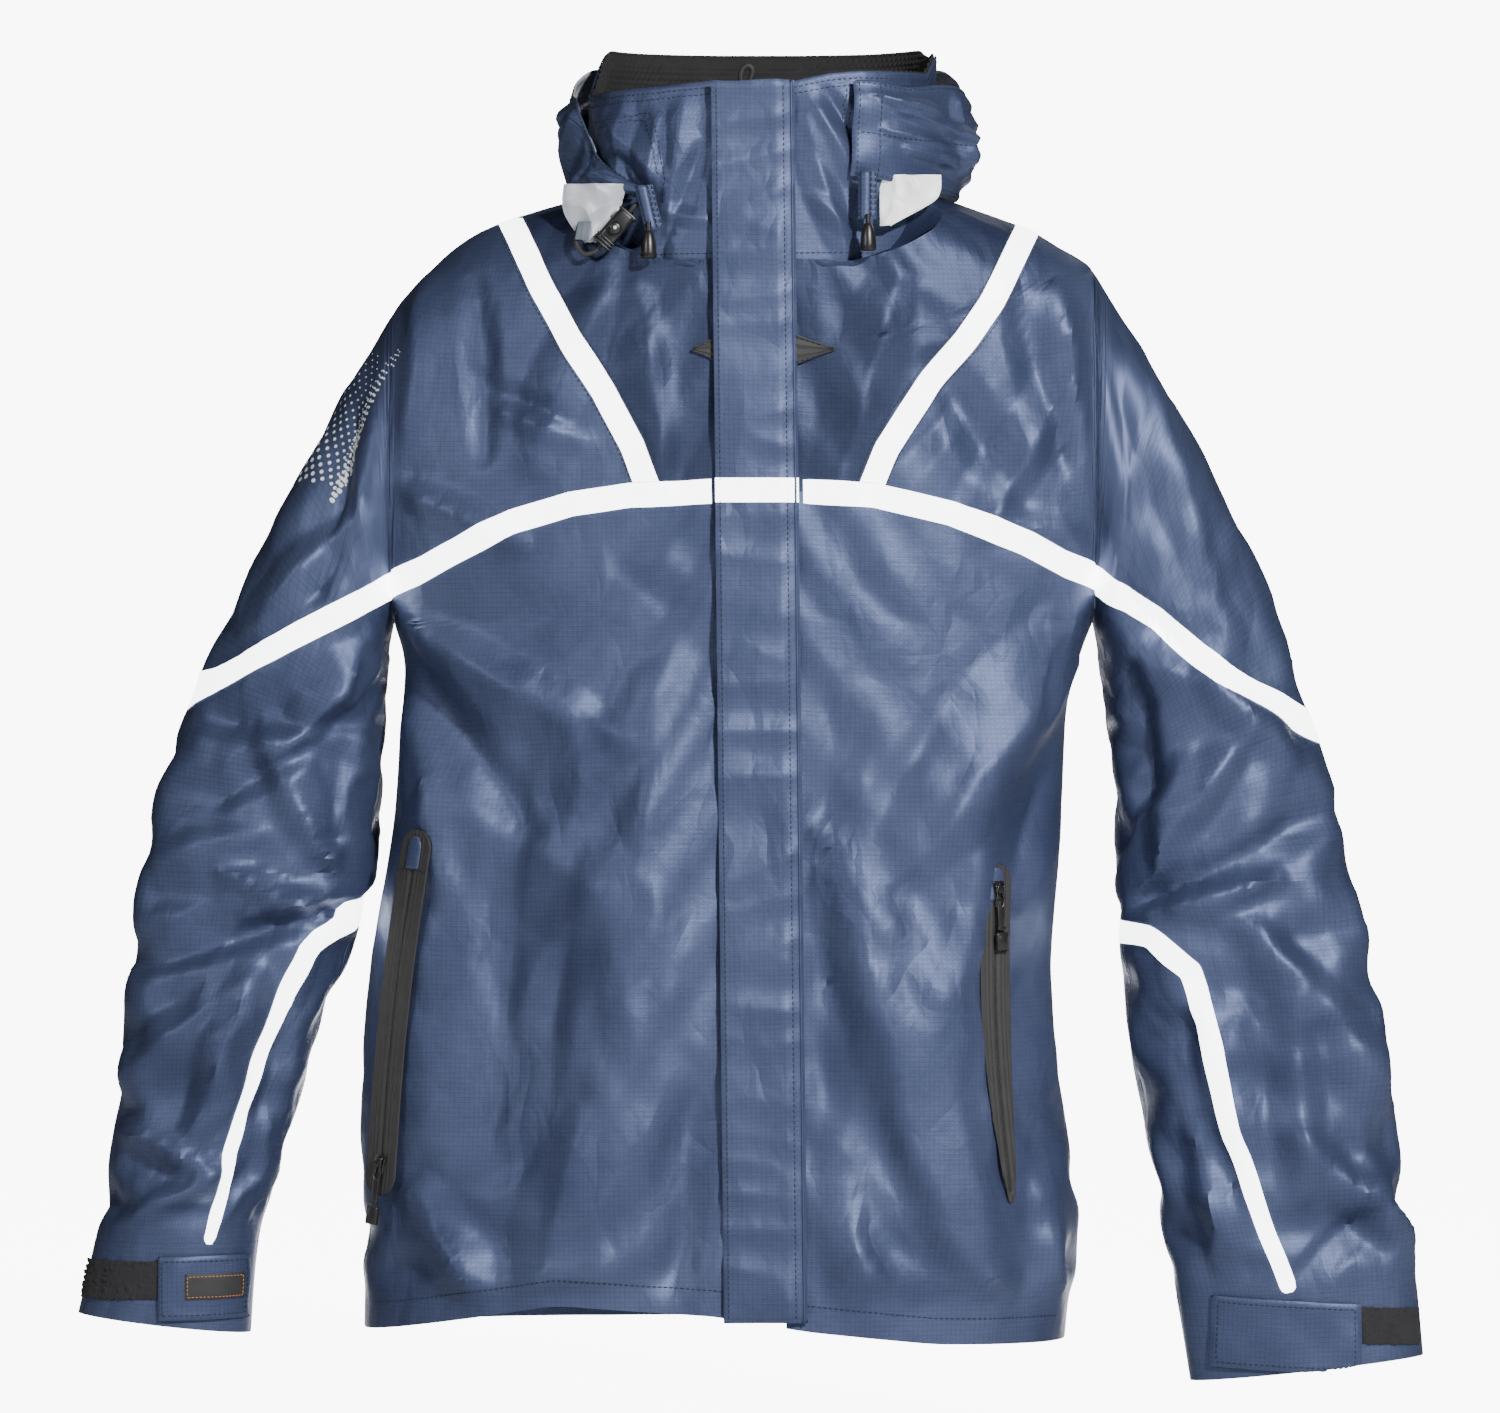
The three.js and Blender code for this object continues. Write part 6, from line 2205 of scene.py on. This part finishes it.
def all_stuff():
    return {
        "navy": ripstop("navy_ripstop_cloth", (0.066, 0.085, 0.160), (0.044, 0.058, 0.118)),
        "yoke": ripstop("dark_ripstop_cloth", (0.035, 0.047, 0.096), (0.024, 0.033, 0.072)),
        # The tape's emission is a painted glow: it stands in for the flash thrown back by the reflective
        # film.
        "tape": plain("reflective_film_painted_glow", (0.90, 0.91, 0.93), 0.35, grain=3, depth=0.02,
                      Emission_Color=(0.95, 0.97, 1, 1), Emission_Strength=5.5),
        "lining_silver": plain("silver_hood_lining", (0.46, 0.48, 0.52), 0.42, grain=2, depth=0.05),
        # A near-white copy of the silver lining with a glow: painted highlight on the hood's lining.
        "lining_painted_highlight": plain("hood_lining_painted_highlight", (0.85, 0.86, 0.88), 0.42, grain=2, depth=0.05,
                              Emission_Color=(0.95, 0.97, 1, 1), Emission_Strength=0.5),
        "grey_webbing": plain("grey_webbing", (0.12, 0.14, 0.17), 0.7, grain=0.8, depth=0.2),
        "lining": plain("silver_mesh_lining", (0.35, 0.36, 0.38), 0.6),
        "fleece": plain("spacer_fleece", (0.011, 0.011, 0.012), 0.9),
        "webbing": plain("black_webbing_weave", (0.014, 0.014, 0.015), 0.7),
        "plastic": plain("moulded_black", (0.012, 0.012, 0.013), 0.35),
        "rubber": plain("pocket_welt_rubber", (0.020, 0.0185, 0.018), 0.7),
        "loop": plain("loop_pile", (0.018, 0.018, 0.02), 0.95),
        "thread": plain("navy_thread", (0.009, 0.013, 0.030), 0.7),
        "bell": plain("dark_brown_moulding", (0.013, 0.0115, 0.011), 0.34),
        "metal": plain("black_zip_metal", (0.012, 0.012, 0.013), 0.22),
        "steel": plain("steel_rivet", (0.6, 0.6, 0.6), 0.25),
        "label": plain("woven_label", (0.02, 0.02, 0.021), 0.6),
        "label_thread": plain("orange_thread", (0.55, 0.20, 0.05), 0.6),
        "silver_print": plain("silver_print", (0.72, 0.74, 0.76), 0.35),
        "cord": plain("cord_black", (0.02, 0.02, 0.022), 0.7),
        "reinforcement": plain("reinforcement_black", (0.014, 0.014, 0.014), 0.6),
    }


# Stitches gathered in one piece each: their name, thread, body and slot.
STITCHED = (
    ("right_tab", "thread", "right_cuff_tab", "navy_ripstop"),
    ("left_tab", "thread", "left_cuff_tab", "navy_ripstop"),
    ("label", "label_thread", "right_cuff_tab", "black_webbing"),
    ("torso", "thread", "torso", "navy_ripstop"),
    ("flap", "thread", "storm_flap", "navy_ripstop"),
    ("collar", "thread", "torso", "navy_ripstop"),
)


def main():
    make_camera()
    stuff = all_stuff()
    hood_cord(stuff)
    net = Net()
    front, back = torso_net(net)
    sleeves = {side: sleeve_net(net, side, front, back) for side in SIGN}
    cloth = Cloth(net, sleeves)
    cloth.settled = cloth.settle(net, started(cloth), 110, 8)
    fine = Fine(cloth, net)
    threads = {name: Stitches() for name, *_ in STITCHED}
    torso_pieces(fine, stuff)
    sleeve_pieces(fine, stuff)
    flap_pieces(stuff, threads)
    collar_pieces(stuff, threads)
    neck_facing(net, front, stuff)
    cover_pieces(stuff, threads)
    hood_roll(stuff)
    lining_bulges(stuff)
    closure_pieces(stuff, threads)
    bag_pieces(fine, stuff)
    cord_lock(stuff)
    cord_ends(stuff, threads)
    for name in ("main_zip_slider", "main_zip_pull"):
        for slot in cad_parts[name].material_slots:
            slot.material = stuff["metal"]
    for side in SIGN:
        pocket_pieces(side, stuff, threads)
        cuff_pieces(fine, side, stuff, threads)
    seam_rows(fine, threads)
    sleeve_print(fine, stuff)
    for name, thread, body, slot in STITCHED:
        threads[name].made(f"{name}_stitches", stuff[thread], body, slot)
    make_stage()
    make_lights()


main()
